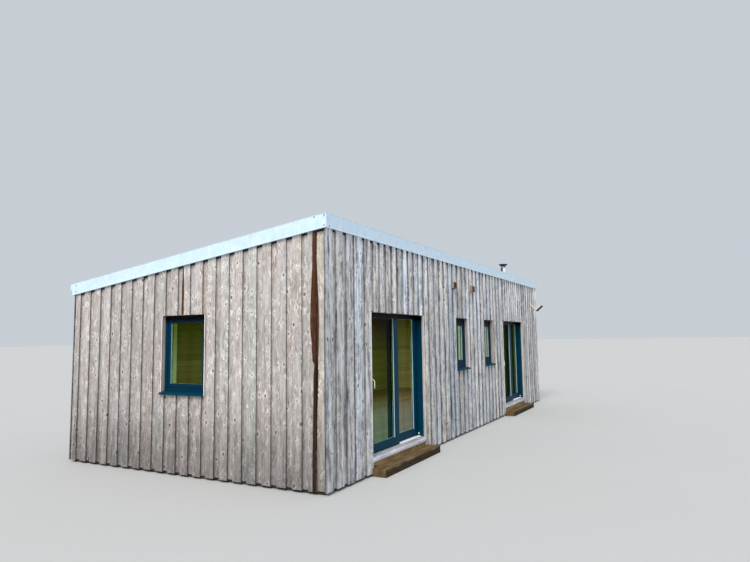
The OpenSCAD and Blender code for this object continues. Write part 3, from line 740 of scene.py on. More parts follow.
def screw_head(shape, a, d, z, radius, rise, sides=8):
    """A low domed head that stands out of a wall's outer face."""
    verts = [(a + radius * share * c, d - rise * out, z + radius * share * s)
             for share, out in ((1.0, 0.0), (0.8, 0.7), (0.35, 1.0)) for c, s in circle(sides)]
    shape.add(verts, quads(3, sides) + [tuple(range(2 * sides, 3 * sides))])


def wander(*place):
    """A smooth random value between -1 and 1 that depends on the place alone."""
    return noise.noise(Vector(place))


# Cladding: outer boards with gaps, and inner boards behind the gaps

# Spacing of a board's points, its screws, the inner boards' lap and the least strip that counts
LEVEL_STEP = 0.2
SCREW_LEVELS = (0.24, 0.86, 1.50, 2.12, 2.74, 3.26)
SCREW_IN = 0.028
SCREW_R, SCREW_RISE = 0.0042, 0.0012
INNER_LAP = 0.025
SLIVER = 0.001


def board(shape, a0, a1, d0, d1, foot, top, holes, tag):
    """One upright board, cut round the openings, a little bowed and uneven along its edges."""
    shift = random.uniform(-0.002, 0.002)
    a0, a1 = a0 + shift, a1 + shift
    near = [h for h in holes if h[0] < a1 - SLIVER and h[1] > a0 + SLIVER]
    cuts = {v for h in near for v in h[:2] if a0 + SLIVER < v < a1 - SLIVER}
    cuts = sorted({a0, a1} | cuts)
    roof = min(top(a0), top(a1))
    fixed = {foot} | {v for h in near for v in h[2:] if foot + SLIVER < v < roof - SLIVER}
    levels = set(fixed)
    z = foot + LEVEL_STEP
    while z < roof - 0.06:
        if min(abs(z - v) for v in fixed) > 0.05:
            levels.add(z)
        z += LEVEL_STEP
    levels = sorted(levels) + [None]
    key = random.uniform(0, 900)
    verts = []
    index = {}
    for i, a in enumerate(cuts):
        for j, level in enumerate(levels):
            z = top(a) if level is None else level
            off = 0.0014 * wander(key + 3 * i, z * 0.9, 0.5) if a in (a0, a1) else 0.0
            bow = 0.0012 * wander(key, z * 0.5, 7.5 + 2 * (a - a0))
            for k, d in enumerate((d0 + bow, d1)):
                index[i, j, k] = len(verts)
                verts.append((a + off, d, z))

    def kept(i, j):
        if not (0 <= i < len(cuts) - 1 and 0 <= j < len(levels) - 1):
            return False
        a = (cuts[i] + cuts[i + 1]) / 2
        high = roof + 0.01 if levels[j + 1] is None else levels[j + 1]
        z = (levels[j] + high) / 2
        return not any(h[0] < a < h[1] and h[2] < z < h[3] for h in near)

    # Each kept cell shows its outer face, and an edge where the cell beside it is missing
    edges = (((-1, 0), ((0, 0, 1), (0, 0, 0), (0, 1, 0), (0, 1, 1))),
             ((1, 0), ((1, 0, 0), (1, 0, 1), (1, 1, 1), (1, 1, 0))),
             ((0, -1), ((0, 0, 0), (0, 0, 1), (1, 0, 1), (1, 0, 0))),
             ((0, 1), ((0, 1, 0), (1, 1, 0), (1, 1, 1), (0, 1, 1))))
    faces = []
    for i in range(len(cuts) - 1):
        for j in range(len(levels) - 1):
            if not kept(i, j):
                continue
            shown = [((0, 0, 0), (1, 0, 0), (1, 1, 0), (0, 1, 0))]
            shown += [edge for (x, y), edge in edges if not kept(i + x, j + y)]
            faces += [tuple(index[i + x, j + y, k] for x, y, k in face) for face in shown]
    shape.add(verts, faces, tag)


def read(parts, field, kind, width=1):
    """One field of all a mesh's vertices, corners or faces."""
    values = np.zeros(len(parts) * width, kind)
    parts.foreach_get(field, values)
    return values.reshape(-1, width) if width > 1 else values


def corner_places(mesh, wall):
    """The place of every face corner in the wall's frame."""
    return wall.local(read(mesh.vertices, "co", float, 3))[read(mesh.loops, "vertex_index", np.int32)]


def lay_grain(mesh, facts, rim, grain):
    """Gives the boards' material each face's seed, tone and warmth, its rim and its grain."""
    for name, kind, field, values in (("board", "FLOAT_VECTOR", "vector", facts),
                                      ("rim", "FLOAT", "value", rim)):
        layer = mesh.attributes.new(name, kind, "FACE")
        layer.data.foreach_set(field, np.asarray(values, np.float32).ravel())
    uv = np.stack(grain, 1).astype(np.float32)
    mesh.uv_layers.new(name="grain").data.foreach_set("uv", uv.ravel())


def dress(piece, wall, facts):
    """Gives upright boards their facts: middle, seed, tone, warmth and half the gap they show in."""
    mesh = piece.data
    tags = read(mesh.attributes["tag"].data, "value", np.int32)
    facts = np.array(facts, np.float32)
    # Side faces are marked with a rim of -1, which the boards' material darkens: painted shade
    sides = np.abs(read(mesh.polygons, "normal", float, 3) @ wall.axes[0]) > 0.8
    rim = np.where(sides, -1.0, facts[tags][:, 4])
    place = corner_places(mesh, wall)
    owner = facts[np.repeat(tags, read(mesh.polygons, "loop_total", np.int32))]
    lay_grain(mesh, facts[tags][:, 1:4], rim, (place[:, 0] - owner[:, 0] + place[:, 1],
                                               place[:, 2] + owner[:, 1] * 37))


def level_top(_):
    """The head of the front boards, the same along the whole wall."""
    return ceiling_z(0.0)


def level_back(_):
    return ceiling_z(HUT_D)


def clad(name, wall, outer, span, material, node, top=level_top, holes=(), foot=BOARD_FOOT,
         tones=(0.05, 1.0), warmths=(0.0, 0.9)):
    """Builds a wall's boards from the places of its outer ones, with their screws, and the dark
    strips in each gap under the eaves, which are painted shade."""
    shape = Shape()
    facts = []
    holes = [(h[0] - REVEAL_T, h[1] + REVEAL_T, h[2], h[3]) for h in holes]
    screws = Shape()
    for a0, a1 in outer:
        low = foot + random.uniform(-0.004, 0.004)
        board(shape, a0, a1, 0.0006, BOARD_T, low, top, holes, len(facts))
        facts.append(((a0 + a1) / 2, random.random(), random.uniform(*tones),
                      random.uniform(*warmths), 0.0))
        for z in SCREW_LEVELS:
            for a in (a0 + SCREW_IN, a1 - SCREW_IN):
                cut = any(h[0] - 0.01 < a < h[1] + 0.01 and h[2] - 0.02 < z < h[3] + 0.02
                          for h in holes)
                if foot + 0.02 < z < top(a) - 0.12 and not cut:
                    screw_head(screws, a + random.uniform(-0.003, 0.003), 0.0016,
                               z + random.uniform(-0.006, 0.006), SCREW_R, SCREW_RISE)
    # Inner boards are toned darker, painted shade of their recesses, and warmer
    recess_shade, warmer = (0.5, 0.5) if wall is FRONT else (0.1, 0.1)
    heads = [(h[0], h[1], h[2], h[3] + REVEAL_T) for h in holes]
    edges = [span[0]] + [v for pair in outer for v in pair] + [span[1]]
    # Dark strips in the top of each gap between outer boards: painted shade
    shade_strips = Shape()
    for a0, a1 in zip(edges[::2], edges[1::2]):
        if a1 - a0 < 0.004:
            continue
        shade_strips.add([(a, d, top(a) + rise) for d in (0.010, BOARD_T + 0.001)
                     for rise in (-SHADE_STRIP_H, -0.001) for a in (a0 - 0.004, a1 + 0.004)],
                    [(0, 1, 3, 2), (4, 6, 7, 5), (0, 4, 5, 1)])
        b0 = max(span[0], a0 - INNER_LAP)
        b1 = min(span[1], a1 + INNER_LAP)
        board(shape, b0, b1, BOARD_T + 0.0006, CLAD_D, foot + 0.016, top, heads, len(facts))
        facts.append(((b0 + b1) / 2, random.random(), random.uniform(*tones) - recess_shade,
                      random.uniform(*warmths) + warmer, (a1 - a0) / 2))
    dress(shape.piece(name, material, "cladding", [node], wall=wall, bevel=0.0018), wall, facts)
    screws.piece(name + "_screws", SCREW_STEEL, "cladding", wall=wall, smooth=40)
    shade_strips.piece(name + "_gap_shade", RUBBER, "cladding", wall=wall)


def board_row(count, first, width, pitch=0.25):
    """Outer boards of one width at an even pitch."""
    return [(first + pitch * k, first + width + pitch * k) for k in range(count)]


left_part = [(0.0, 0.165), (0.252, 0.432), (0.517, 0.690), (0.733, 0.945), (1.030, 1.197)]
middle_part = [(x - 0.150 + random.uniform(-0.004, 0.004), x) for x in (
    3.31, 3.54, 3.81, 4.045, 4.28, 4.525, 4.77, 5.045, 5.30, 5.54, 5.76, 6.01, 6.26, 6.505, 6.75,
    7.00, 7.245, 7.49, 7.74, 7.985)]
right_part = [(x + 0.002, x + 0.150) for x in (10.05, 10.30, 10.55, 10.795, 11.04, 11.29, 11.50)]
right_part.append((HUT_L - 0.150, HUT_L))
gap_left, gap_right = [(x0 - REVEAL_T, x1 + REVEAL_T) for x0, x1 in DOOR_EDGES.values()]
clad("front_boards_left", FRONT, left_part, (0.0, gap_left[0]), FRONT_WOOD, "front_cladding_left",
     tones=(0.0, 0.86), warmths=(0.12, 0.95))
clad("front_boards_middle", FRONT, middle_part, (gap_left[1], gap_right[0]), FRONT_WOOD,
     "front_cladding_middle", holes=NARROW)
clad("front_boards_right", FRONT, right_part, (gap_right[1], HUT_L), FRONT_WOOD,
     "front_cladding_right")
for side, span in zip(DOORS, (gap_left, gap_right)):
    clad(f"front_boards_over_{side}_door", FRONT, board_row(9, DOORS[side] + 0.082, 0.129, 0.207),
         span, FRONT_WOOD, "front_cladding_at_doors", foot=HEAD_Z + 0.003)
side_span = (CLAD_D, HUT_D - CLAD_D)
side_outer = [(0.162, 0.287)] + board_row(18, 0.387, 0.150) + [(4.887, side_span[1])]
clad("left_boards", LEFT, side_outer, side_span, LEFT_WOOD, "left_cladding", ceiling_z, END,
     tones=(0.1, 0.9), warmths=(0.1, 0.6))
clad("right_boards", RIGHT, side_outer, side_span, REAR_WOOD, "right_cladding", ceiling_z,
     tones=(0.0, 0.9), warmths=(0.1, 0.6))
clad("back_boards", BACK, board_row(47, 0.0, 0.150) + [(HUT_L - 0.100, HUT_L)], (0.0, HUT_L),
     REAR_WOOD, "back_cladding", level_back, tones=(0.0, 0.9), warmths=(0.1, 0.6))


def lining(shape, facts, box, shade, warmth):
    """One thin lining board, with its facts."""
    shape.box(*box, len(facts))
    facts.append(((box[0] + box[1]) / 2, random.random(), shade, warmth, 0.0))


def reveals():
    """Thin boards that line the openings in the cladding, and the strip under each door cill."""
    foot = BOARD_FOOT + 0.01
    skin, return_back = 0.0016, 0.069
    doors = [(*edges, foot, HEAD_Z) for edges in DOOR_EDGES.values()]
    # High tones outweigh the painted shade that the reveals' side faces get
    for name, wall, opens, shade in (("door", FRONT, doors, 3.7), ("narrow", FRONT, NARROW, 2.0),
                                     ("end", LEFT, END, 2.0)):
        shape = Shape()
        facts = []
        for a0, a1, z0, z1 in opens:
            for b0, b1 in ((a0 - REVEAL_T, a0), (a1, a1 + REVEAL_T)):
                lining(shape, facts, (b0, b1, 0.002, CLAD_D, z0, z1), shade, 0.0)
            if name != "door":
                for b0, b1 in ((a0, a0 + skin), (a1 - skin, a1)):
                    lining(shape, facts, (b0, b1, CLAD_D, return_back, z0 + SILL_H, z1), 1.8, 0.3)
            # The head lining is toned dark: painted shade under the head
            lining(shape, facts, (a0 - REVEAL_T, a1 + REVEAL_T, BOARD_T + 0.002, CLAD_D, z1,
                                  z1 + REVEAL_T), -1.6, 0.3)
        dress(shape.piece(f"{name}_reveals", FRESH_WOOD, "cladding", wall=wall, bevel=0.001), wall,
              facts)
    strips = Shape()
    for x0, x1 in DOOR_EDGES.values():
        strips.box(x0, x1, 0.004, CLAD_D, foot, CILL_Z - 0.001)
    strips.piece("door_foot_boards", FOOT_WOOD, "cladding", bevel=0.001)


def linings():
    """White linings between the frames and the room's face of the wall."""
    shape = Shape()
    door_back, window_back, room_side, inner_head = 0.229, 0.141, 0.260, 2.410
    doors = [(*edges, FLOOR_Z, inner_head) for edges in DOOR_EDGES.values()]
    for wall, opens, d0, t in ((FRONT, doors, door_back, 0.010), (FRONT, NARROW, window_back, 0.045),
                               (LEFT, END, window_back, 0.045)):
        for a0, a1, z0, z1 in opens:
            d1 = room_side
            one = Shape()
            one.box(a0, a0 + t, d0, d1, z0, z1)
            one.box(a1 - t, a1, d0, d1, z0, z1)
            one.box(a0 + t, a1 - t, d0, d1, z1 - t, z1)
            if opens is not doors:
                one.box(a0 + t, a1 - t, d0, d1, z0 + SILL_H, z0 + SILL_H + t)
            shape.add(FRONT.local(wall.world(one.verts)),
                      [f[::-1] for f in one.faces] if wall.flipped else one.faces)
    shape.piece("opening_linings", LIT_WHITE, "wall_lining", bevel=0.001, segments=1)


reveals()
linings()


# Fascias: bent sheet with a bead on its upper and lower edge

FACE_OUT = FASCIA_T - 0.002
BEAD_R = 0.004
LAPS_X = (3.2, 6.2, 9.2)
LAP_W = 0.05
CONE_REACH = 0.2


def bend(shape, profile, place, stations):
    """Sweeps an open profile through stations, where place gives the point for each."""
    verts = [place(s, i, *point) for s in stations for i, point in enumerate(profile)]
    faces = quads(len(stations), len(profile), closed=False)
    shape.add(verts, [(a, d, c, b) for a, b, c, d in faces])


def bead(cx, cy, radius, start, end, steps=6):
    """Points of a rounded bead about a centre, from one angle to another in degrees."""
    turns = [math.radians(start + (end - start) * k / steps) for k in range(steps + 1)]
    return [(cx + radius * math.cos(turn), cy + radius * math.sin(turn)) for turn in turns]


def sheet_profile(height, lap, drip=True):
    """Out, and down from the roof's surface: flashing, folded edge, face, drip and return."""
    points = [(-lap, 0.0), (-BEAD_R, 0.0)]
    points += bead(FASCIA_T - BEAD_R, -BEAD_R, BEAD_R, 90, -70)
    points += [(FACE_OUT - 0.0005, -0.012), (FACE_OUT, -0.045), (FACE_OUT, -0.10)]
    points += [(FACE_OUT, -height + 0.045), (FACE_OUT + 0.0005, -height + 0.012)]
    if drip:
        points += bead(FASCIA_T + 0.001, -height + BEAD_R, BEAD_R, 60, -100)
    else:
        points += [(FASCIA_T - 0.001, -height)]
    return points + [(0.004, -height + 0.001)]


def stretch(x0, x1, step=0.25):
    """Even places from one end to the other, about a step apart."""
    count = max(1, round((x1 - x0) / step))
    return [x0 + (x1 - x0) * k / count for k in range(count + 1)]


PROFILE = sheet_profile(FASCIA_H, FLASHING_W)
TAIL_PROFILE = sheet_profile(FASCIA_H / 2, 0.0, drip=False)


def dent(i, s, key):
    """Sheet metal never lies quite flat: the face moves in and out by up to a millimetre."""
    return 0.0011 * wander(s * 1.3, key, i * 0.4) if 9 <= i < len(PROFILE) - 8 else 0.0


def front_place(x, i, out, down):
    y = -out - dent(i, x, 3.3)
    lift = -y * ROOF_SLOPE if out < 0 else 0.0
    return (x, y, ROOF_FRONT + lift + down)


def side_place(y, i, out, down):
    return (-out - dent(i, y, 8.1), y, roof_z(y) + down)


def fascia_screws(name, wall, height, spots):
    """Domed screws, each by its place along the wall and its drop below the roof's edge."""
    screws = Shape()
    radius, rise, seat = 0.009, 0.006, 0.0005
    for a, down in spots:
        screw_head(screws, a, -FASCIA_T + seat, height(a) - down, radius, rise, 10)
    screws.piece(f"{name}_fascia_screws", RUBBER, "fascia", wall=wall, smooth=40)


def fascias():
    """The bent sheets round the roof, with laps and screws."""
    front = Shape()
    bend(front, PROFILE, front_place, stretch(-FASCIA_T, HUT_L + FASCIA_T))
    front.piece("front_flashing", PALE, "fascia", ["front_fascia"], smooth=35)
    for name in ("left", "right"):
        side = Shape()
        bend(side, [(max(out, 0.0), down) for out, down in PROFILE], side_place,
             stretch(-FASCIA_T + 0.0015, FLASHING_W, 0.12))
        bend(side, PROFILE, side_place, stretch(FLASHING_W, HUT_D + FASCIA_T))
        bend(side, TAIL_PROFILE, side_place, stretch(HUT_D + FASCIA_T, ROOF_END, 0.05))
        if name == "right":
            side.verts = [(HUT_L - x, y, z) for x, y, z in side.verts]
            side.faces = [f[::-1] for f in side.faces]
        side.piece(f"{name}_flashing", PALE, "fascia", [f"{name}_fascia"], smooth=35)
    laps = Shape()
    for x in LAPS_X:
        laps.box(x, x + LAP_W, -FASCIA_T - 0.0012, -FASCIA_T + 0.002, ROOF_FRONT - FASCIA_H + 0.014,
                 ROOF_FRONT - 0.012)
    laps.piece("fascia_laps", PALE, "fascia", bevel=0.0006, segments=1)
    screws_x = [x + 0.01 for x in LAPS_X] + [HUT_L - 0.05]
    fascia_screws("front", FRONT, lambda _: ROOF_FRONT,
                  [(0.04, 0.168)] + [(x, down) for x in screws_x for down in (0.04, 0.15)])
    for name, wall in (("left", LEFT), ("right", RIGHT)):
        fascia_screws(name, wall, roof_z, [(0.007, 0.027), (0.007, 0.160), (0.160, 0.022),
                                           (4.98, 0.04), (4.98, 0.15)])
    softened("back_fascia", "back_trim", PALE, "fascia", 0.003)


def roof_screws():
    """Rows of hexagon screws with washers on the ribs of the roof sheet."""
    shape = Shape()
    ribs = int((HUT_L - 0.065) // RIB_PITCH)
    first = (HUT_L - (ribs - 1) * RIB_PITCH) / 2
    for x, y in [(first + i * RIB_PITCH, 0.22 + line * 0.94) for i in range(ribs) for line in range(6)]:
        if math.hypot(x - FLUE_X, y - FLUE_Y) < CONE_REACH:
            continue
        z = roof_z(y) - 0.0035
        for radius, low, high, sides in ((0.011, 0.0, 0.002, 12), (0.0055, 0.002, 0.007, 6)):
            lathe(shape, x, y, [(radius, z + low), (radius, z + high), (0.0004, z + high)], sides)
    shape.piece("roof_screws", SCREW_STEEL, "roof_metal")


fascias()
roof_screws()


# Doors


def edge(t, d, radius, first, last):
    """A rounded corner of a profile about a centre, in degrees."""
    return bead(t, d, radius, first, last, 3)


def frame_profile(width, d0, d1, radius=0.003):
    """A plain rounded section from the outside in."""
    return ([(0.0, d1), (0.0, d0)] + edge(width - radius, d0 + radius, radius, -90, 0)
            + edge(width - radius, d1 - radius, radius, 0, 90))


def casement_profile(width, d0, d1, glass_d):
    """A glazed member: rounded outside, with a rebate step and a sloped glazing edge."""
    r = GLAZING_LIP
    lip = width - GLAZING_LIP
    return (edge(r, d1 - r, r, 90, 180) + edge(r, d0 + r, r, 180, 270)
            + edge(width - 0.003, d0 + 0.003, 0.003, -90, 0)
            + [(width, d0 + 0.007), (lip, d0 + 0.008), (lip, glass_d - 0.001),
               (width, glass_d - 0.001), (width, glass_d + 0.014), (lip, glass_d + 0.016), (lip, d1)])


def glazing(name, body, wall, span, width, d0, glass_d, seal_d=0.003, lower=0.0):
    """The bead, the rubber strip and the spacer round one pane."""
    lip, face = width - GLAZING_LIP, glass_d - seal_d
    near, far = glass_d + 0.002, glass_d + 0.010
    beads = [(lip, face), (lip, d0 + 0.008), (width - 0.0008, d0 + 0.0085), (width - 0.0003, face)]
    seal = [(lip, glass_d), (lip, face), (width + 0.001, face), (width + 0.004, glass_d)]
    spacer = [(width - 0.002, far), (width - 0.002, near), (width + 0.009, near), (width + 0.009, far)]
    for part, profile, members, material, slot in (
            ("bead", beads, (0, 2), SILVER, "white_metal"),
            ("seal", seal, (0, 1, 2, 3), RUBBER, "blue_frame"),
            ("spacer", spacer, (0, 1, 2, 3), SILVER, "glass")):
        ring(*span, profile, lower=lower, members=members).piece(
            f"{name}_{part}", material, slot, body=body, wall=wall)


def node_span(node):
    """A node's box along the front, in depth and in height."""
    low, high = [FRONT.local(corner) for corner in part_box(node)]
    return [float(v) for pair in zip(low, high) for v in pair]


def handle(name, node, body):
    """A pull with a back plate, a bent neck and a round grip that hangs down."""
    a0, a1, _, d1, z0, z1 = node_span(node)
    middle = (a0 + a1) / 2
    face = d1 - 0.006
    bar_r, turn_r = 0.0074, 0.050
    plate = Shape()
    plate.box(a0, a1, face, d1, z0 + 0.01, z1)
    plate.piece(f"{name}_handle_plate", BLUE, "blue_frame", body=body, bevel=0.0025, segments=3,
                smooth=50)
    top = z1 - 0.060
    centre = top - turn_r
    points = [(middle, face + 0.001, top)]
    for turn in [math.radians(9 * k) for k in range(11)]:
        points.append((middle, face - turn_r * math.sin(turn), centre + turn_r * math.cos(turn)))
    for drop in (0.025, 0.050, 0.072, 0.084, 0.088):
        points.append((middle, face - turn_r, centre - drop))
    radii = [bar_r] * (len(points) - 4) + [0.0073, 0.0070, 0.0064, 0.0040]
    grip = Shape()
    tube(grip, points, radii, 18)
    grip.piece(f"{name}_handle_grip", WHITE, "white_metal", [node], body=body, smooth=40)


def door(side):
    """Frame, leaf and fixed panel with their glazing, and the handle."""
    name = f"{side}_door"
    body = f"{side}_leaf"
    a0, a1, d0, d1, z0, z1 = node_span(f"{name}_frame")
    ring(a0, a1, z0, z1, frame_profile(DOOR_FRAME_W, d0 + 0.0005, d1), open_foot=True).piece(
        f"{name}_outer_frame", BLUE, "blue_frame", [f"{name}_frame"], smooth=40)
    lower = STILE_W - FOOT_RAIL
    for node, panel, rides in ((f"{name}_leaf", f"{name}_leaf", body),
                               (f"{name}_fixed_panel", f"{name}_fixed", "hut")):
        a0, a1, d0, d1, z0, z1 = node_span(node)
        glass_d = d0 + DOOR_GLASS_D
        ring(a0, a1, z0, z1, casement_profile(STILE_W, d0, d1, glass_d), lower=lower).piece(
            f"{panel}_rails", BLUE, "blue_frame", [node], body=rides, smooth=40)
        glazing(panel, rides, FRONT, (a0, a1, z0, z1), STILE_W, d0, glass_d, 0.012, lower)
    handle(name, f"{name}_handle", body)


for side in DOORS:
    door(side)


# Windows


def window(name, wall, opening, frame_w, sash_w):
    """Outer frame, sash, and the glazing of one window."""
    a0, a1, foot, head = opening
    z0 = foot + SILL_H
    ring(a0, a1, z0, head, frame_profile(frame_w, RETURN_D, RETURN_D + 0.070)).piece(
        f"{name}_outer_frame", WINDOW_BLUE, "blue_frame", ["window_frames"], wall=wall, smooth=40)
    b0, b1, c0, c1 = a0 + frame_w, a1 - frame_w, z0 + frame_w, head - frame_w
    gap = 0.002
    d0, glass_d = RETURN_D + 0.008, RETURN_D + 0.036
    ring(b0 + gap, b1 - gap, c0 + gap, c1 - gap,
         casement_profile(sash_w - gap, d0, RETURN_D + 0.062, glass_d)).piece(
        f"{name}_sash", WINDOW_BLUE, "blue_frame", ["window_sashes"], wall=wall, smooth=40)
    glazing(name, "hut", wall, (b0, b1, c0, c1), sash_w, d0, glass_d)


for number, opening in enumerate(NARROW, 1):
    window(f"narrow_window_{number}", FRONT, opening, 0.062, 0.085)
window("end_window", LEFT, END[0], 0.050, 0.058)


def cills():
    """Painted sills and thresholds, and timber cills whose grain runs along the wall."""
    softened("window_sills", "sills", BLUE, "blue_frame", 0.003, smooth=40)
    softened("door_thresholds", "thresholds", SILL_PAINT, "white_metal", 0.0015, smooth=40)
    timber = softened("door_cills", "cills", CILL_WOOD, "cill_timber", 0.003, smooth=40).data
    # Front faces of the cills are toned lighter and their tops darker: painted light and shade
    facts = [(0.37, 2.2 if p.normal.y < -0.5 else -0.2, 0.1) for p in timber.polygons]
    place = corner_places(timber, FRONT)
    lay_grain(timber, facts, np.zeros(len(facts)), (place[:, 1] + place[:, 2], place[:, 0]))


cills()


# Steps, vents, flue and light

# Vents: width, height and how far they stand out, and the middles of the two
VENT_W, VENT_H, VENT_OUT = 0.165, 0.145, 0.050
VENT_X = (4.620, 5.735)
VENT_Z = 2.970


def sleepers():
    """Two worn sleepers: uneven faces, broken edges, end checks."""
    shape = Shape()
    for x0, x1 in DOOR_EDGES.values():
        d0, d1 = -0.225, 0.0
        section = [(d1, 0.0), (d0 + 0.006, 0.0), (d0, 0.006), (d0, 0.035), (d0, 0.07), (d0, 0.105),
                   (d0 + 0.004, 0.114), (d0 + 0.014, 0.1195)]
        section += [(d0 + out, STEP_H) for out in (0.05, 0.10, 0.15, 0.19)]
        section += [(d1 - 0.004, STEP_H), (d1, 0.117)]
        verts = []
        for a in stretch(x0 - 0.030, x1 + 0.080, 0.035):
            for k, (d, z) in enumerate(section):
                wear = 0.0
                if 1 < k < len(section) - 1:
                    wear = 0.0035 + 0.0035 * wander(a * 2.2, k * 0.8, x0)
                    wear += 0.003 * abs(wander(a * 9, k * 0.9, x0 + 3))
                if 5 <= k <= 7:
                    wear += max(0.0, 0.012 * wander(a * 5.5, 3.3, x0))
                verts.append((a, d + (d1 - d) * wear * 4, z - wear if z > 0.02 else z))
        shape.prism(verts, len(section))
    shape.faces = [f[::-1] for f in shape.faces]
    shape.piece("sleepers", SLEEPER, "sleeper", ["sleeper_steps"], smooth=50)


def vents():
    """Hooded vents: a folded hood on a flange, open below, with slats inside."""
    shape = Shape()
    t = 0.003
    top, foot = VENT_Z + VENT_H / 2, VENT_Z - VENT_H / 2
    high, low = top - 0.012, foot + 0.014
    hood = [(-0.002, top - 0.004), (-VENT_OUT + 0.006, high + 0.004), (-VENT_OUT, high),
            (-VENT_OUT, low), (-VENT_OUT + t, low - 0.002)]
    loop = hood + [(d + t, z - t) for d, z in reversed(hood)]
    cheek = [(-0.002, top - 0.005), (-VENT_OUT + 0.001, high), (-VENT_OUT + 0.001, low),
             (-0.002, foot + 0.01)]
    slat = ((0, -0.006, 0.009), (1, -0.006, 0.009), (1, -0.026, 0.0), (0, -0.026, 0.0))
    for x in VENT_X:
        x0, x1 = x - VENT_W / 2, x + VENT_W / 2
        shape.box(x0, x1, -0.004, 0.0, foot, top)
        h0, h1 = x0 + 0.006, x1 - 0.006
        shape.add([(a, d, z) for a in (h0, h1) for d, z in loop],
                  [f[::-1] for f in quads(2, len(loop))])
        for a0 in (h0, h1 - t):
            shape.prism([(a, d, z) for a in (a0, a0 + t) for d, z in cheek], len(cheek))
        for k in range(4):
            level = foot + 0.016 + 0.017 * k
            ends = (x0 + 0.01, x1 - 0.01)
            shape.add([(ends[end], d, level + up + rise) for rise in (0.0, 0.002)
                       for end, d, up in slat],
                      [(0, 1, 2, 3), (7, 6, 5, 4), (2, 6, 7, 3), (0, 3, 7, 4), (1, 5, 6, 2)])
    shape.piece("vents", BROWN, "vent_brown", ["wall_vents"], bevel=0.0008, segments=1)


def flue_cowl(a, d, top):
    """A dished cap over a collar, on four straps."""
    cap = Shape()
    dish = top + 0.045
    outline = ((0.0005, 0.0), (0.02, 0.0005), (FLUE_R, 0.002), (0.120, 0.046), (0.1255, 0.050),
               (0.126, 0.055), (0.1255, 0.060), (0.120, 0.058), (0.06, 0.028), (0.0005, 0.013))
    lathe(cap, a, d, [(radius, dish + z) for radius, z in outline], 64)
    collar = ((0.060, -0.004), (0.0735, -0.004), (0.0735, 0.007), (0.070, 0.008), (0.060, 0.008))
    lathe(cap, a, d, [(radius, top + z) for radius, z in collar], 64)
    for turn in [math.radians(45 + 90 * quarter) for quarter in range(4)]:
        c, s = math.cos(turn), math.sin(turn)
        cap.prism([(a + out * c - side * s, d + out * s + side * c, z) for z in (top, dish + 0.008)
                   for out, side in ((0.052, -0.008), (0.055, -0.008), (0.055, 0.008), (0.052, 0.008))],
                  4)
    cap.piece("cowl", CAP_STEEL, "cowl_steel", ["flue_cowl"], smooth=35)


def flue():
    """The pipe with its seam bands, the cowl, and the lead cone at the roof."""
    a0, a1, d0, d1, low, top = node_span("flue_pipe")
    a, d = (a0 + a1) / 2, (d0 + d1) / 2
    r = FLUE_R
    pipe = Shape()
    outline = [(r - 0.003, low)]
    outline += [(r - inset, top - drop) for inset, drop in (
        (0.003, 0.30), (0.0005, 0.298), (0.0, 0.290), (0.0, 0.262), (0.0005, 0.254), (0.003, 0.252),
        (0.003, 0.030), (0.0005, 0.028), (0.0, 0.022), (0.0, 0.006), (0.002, 0.0), (0.010, 0.0),
        (0.010, 0.12))]
    lathe(pipe, a, d, outline, 64)
    for z in (top - 0.284, top - 0.268):
        tube(pipe, [(x, d - r - 0.0005, z) for x in (a - 0.012, a + 0.012)], [0.003, 0.003], 8)
    pipe.piece("flue_tube", STEEL, "flue_steel", ["flue_pipe"], smooth=35)
    flue_cowl(a, d, top)
    cone = Shape()
    foot = roof_z(d) - 0.002
    outline = ((0.0015, 0.11), (0.005, 0.112), (0.007, 0.100), (0.020, 0.062), (0.040, 0.030),
               (0.062, 0.004))
    lathe(cone, a, d, [(r + out, foot + z) for out, z in outline], 48)
    for i, (x, y, z) in enumerate(cone.verts):
        share = min(1.0, max(0.0, (foot + 0.11 - z) / 0.10))
        uneven = 0.002 * wander(x * 20, y * 20, z * 20)
        cone.verts[i] = (x, y, z + (d - y) * ROOF_SLOPE * share + uneven)
    cone.piece("flue_cone", LEAD, "lead", ["flue_flashing"], smooth=50)


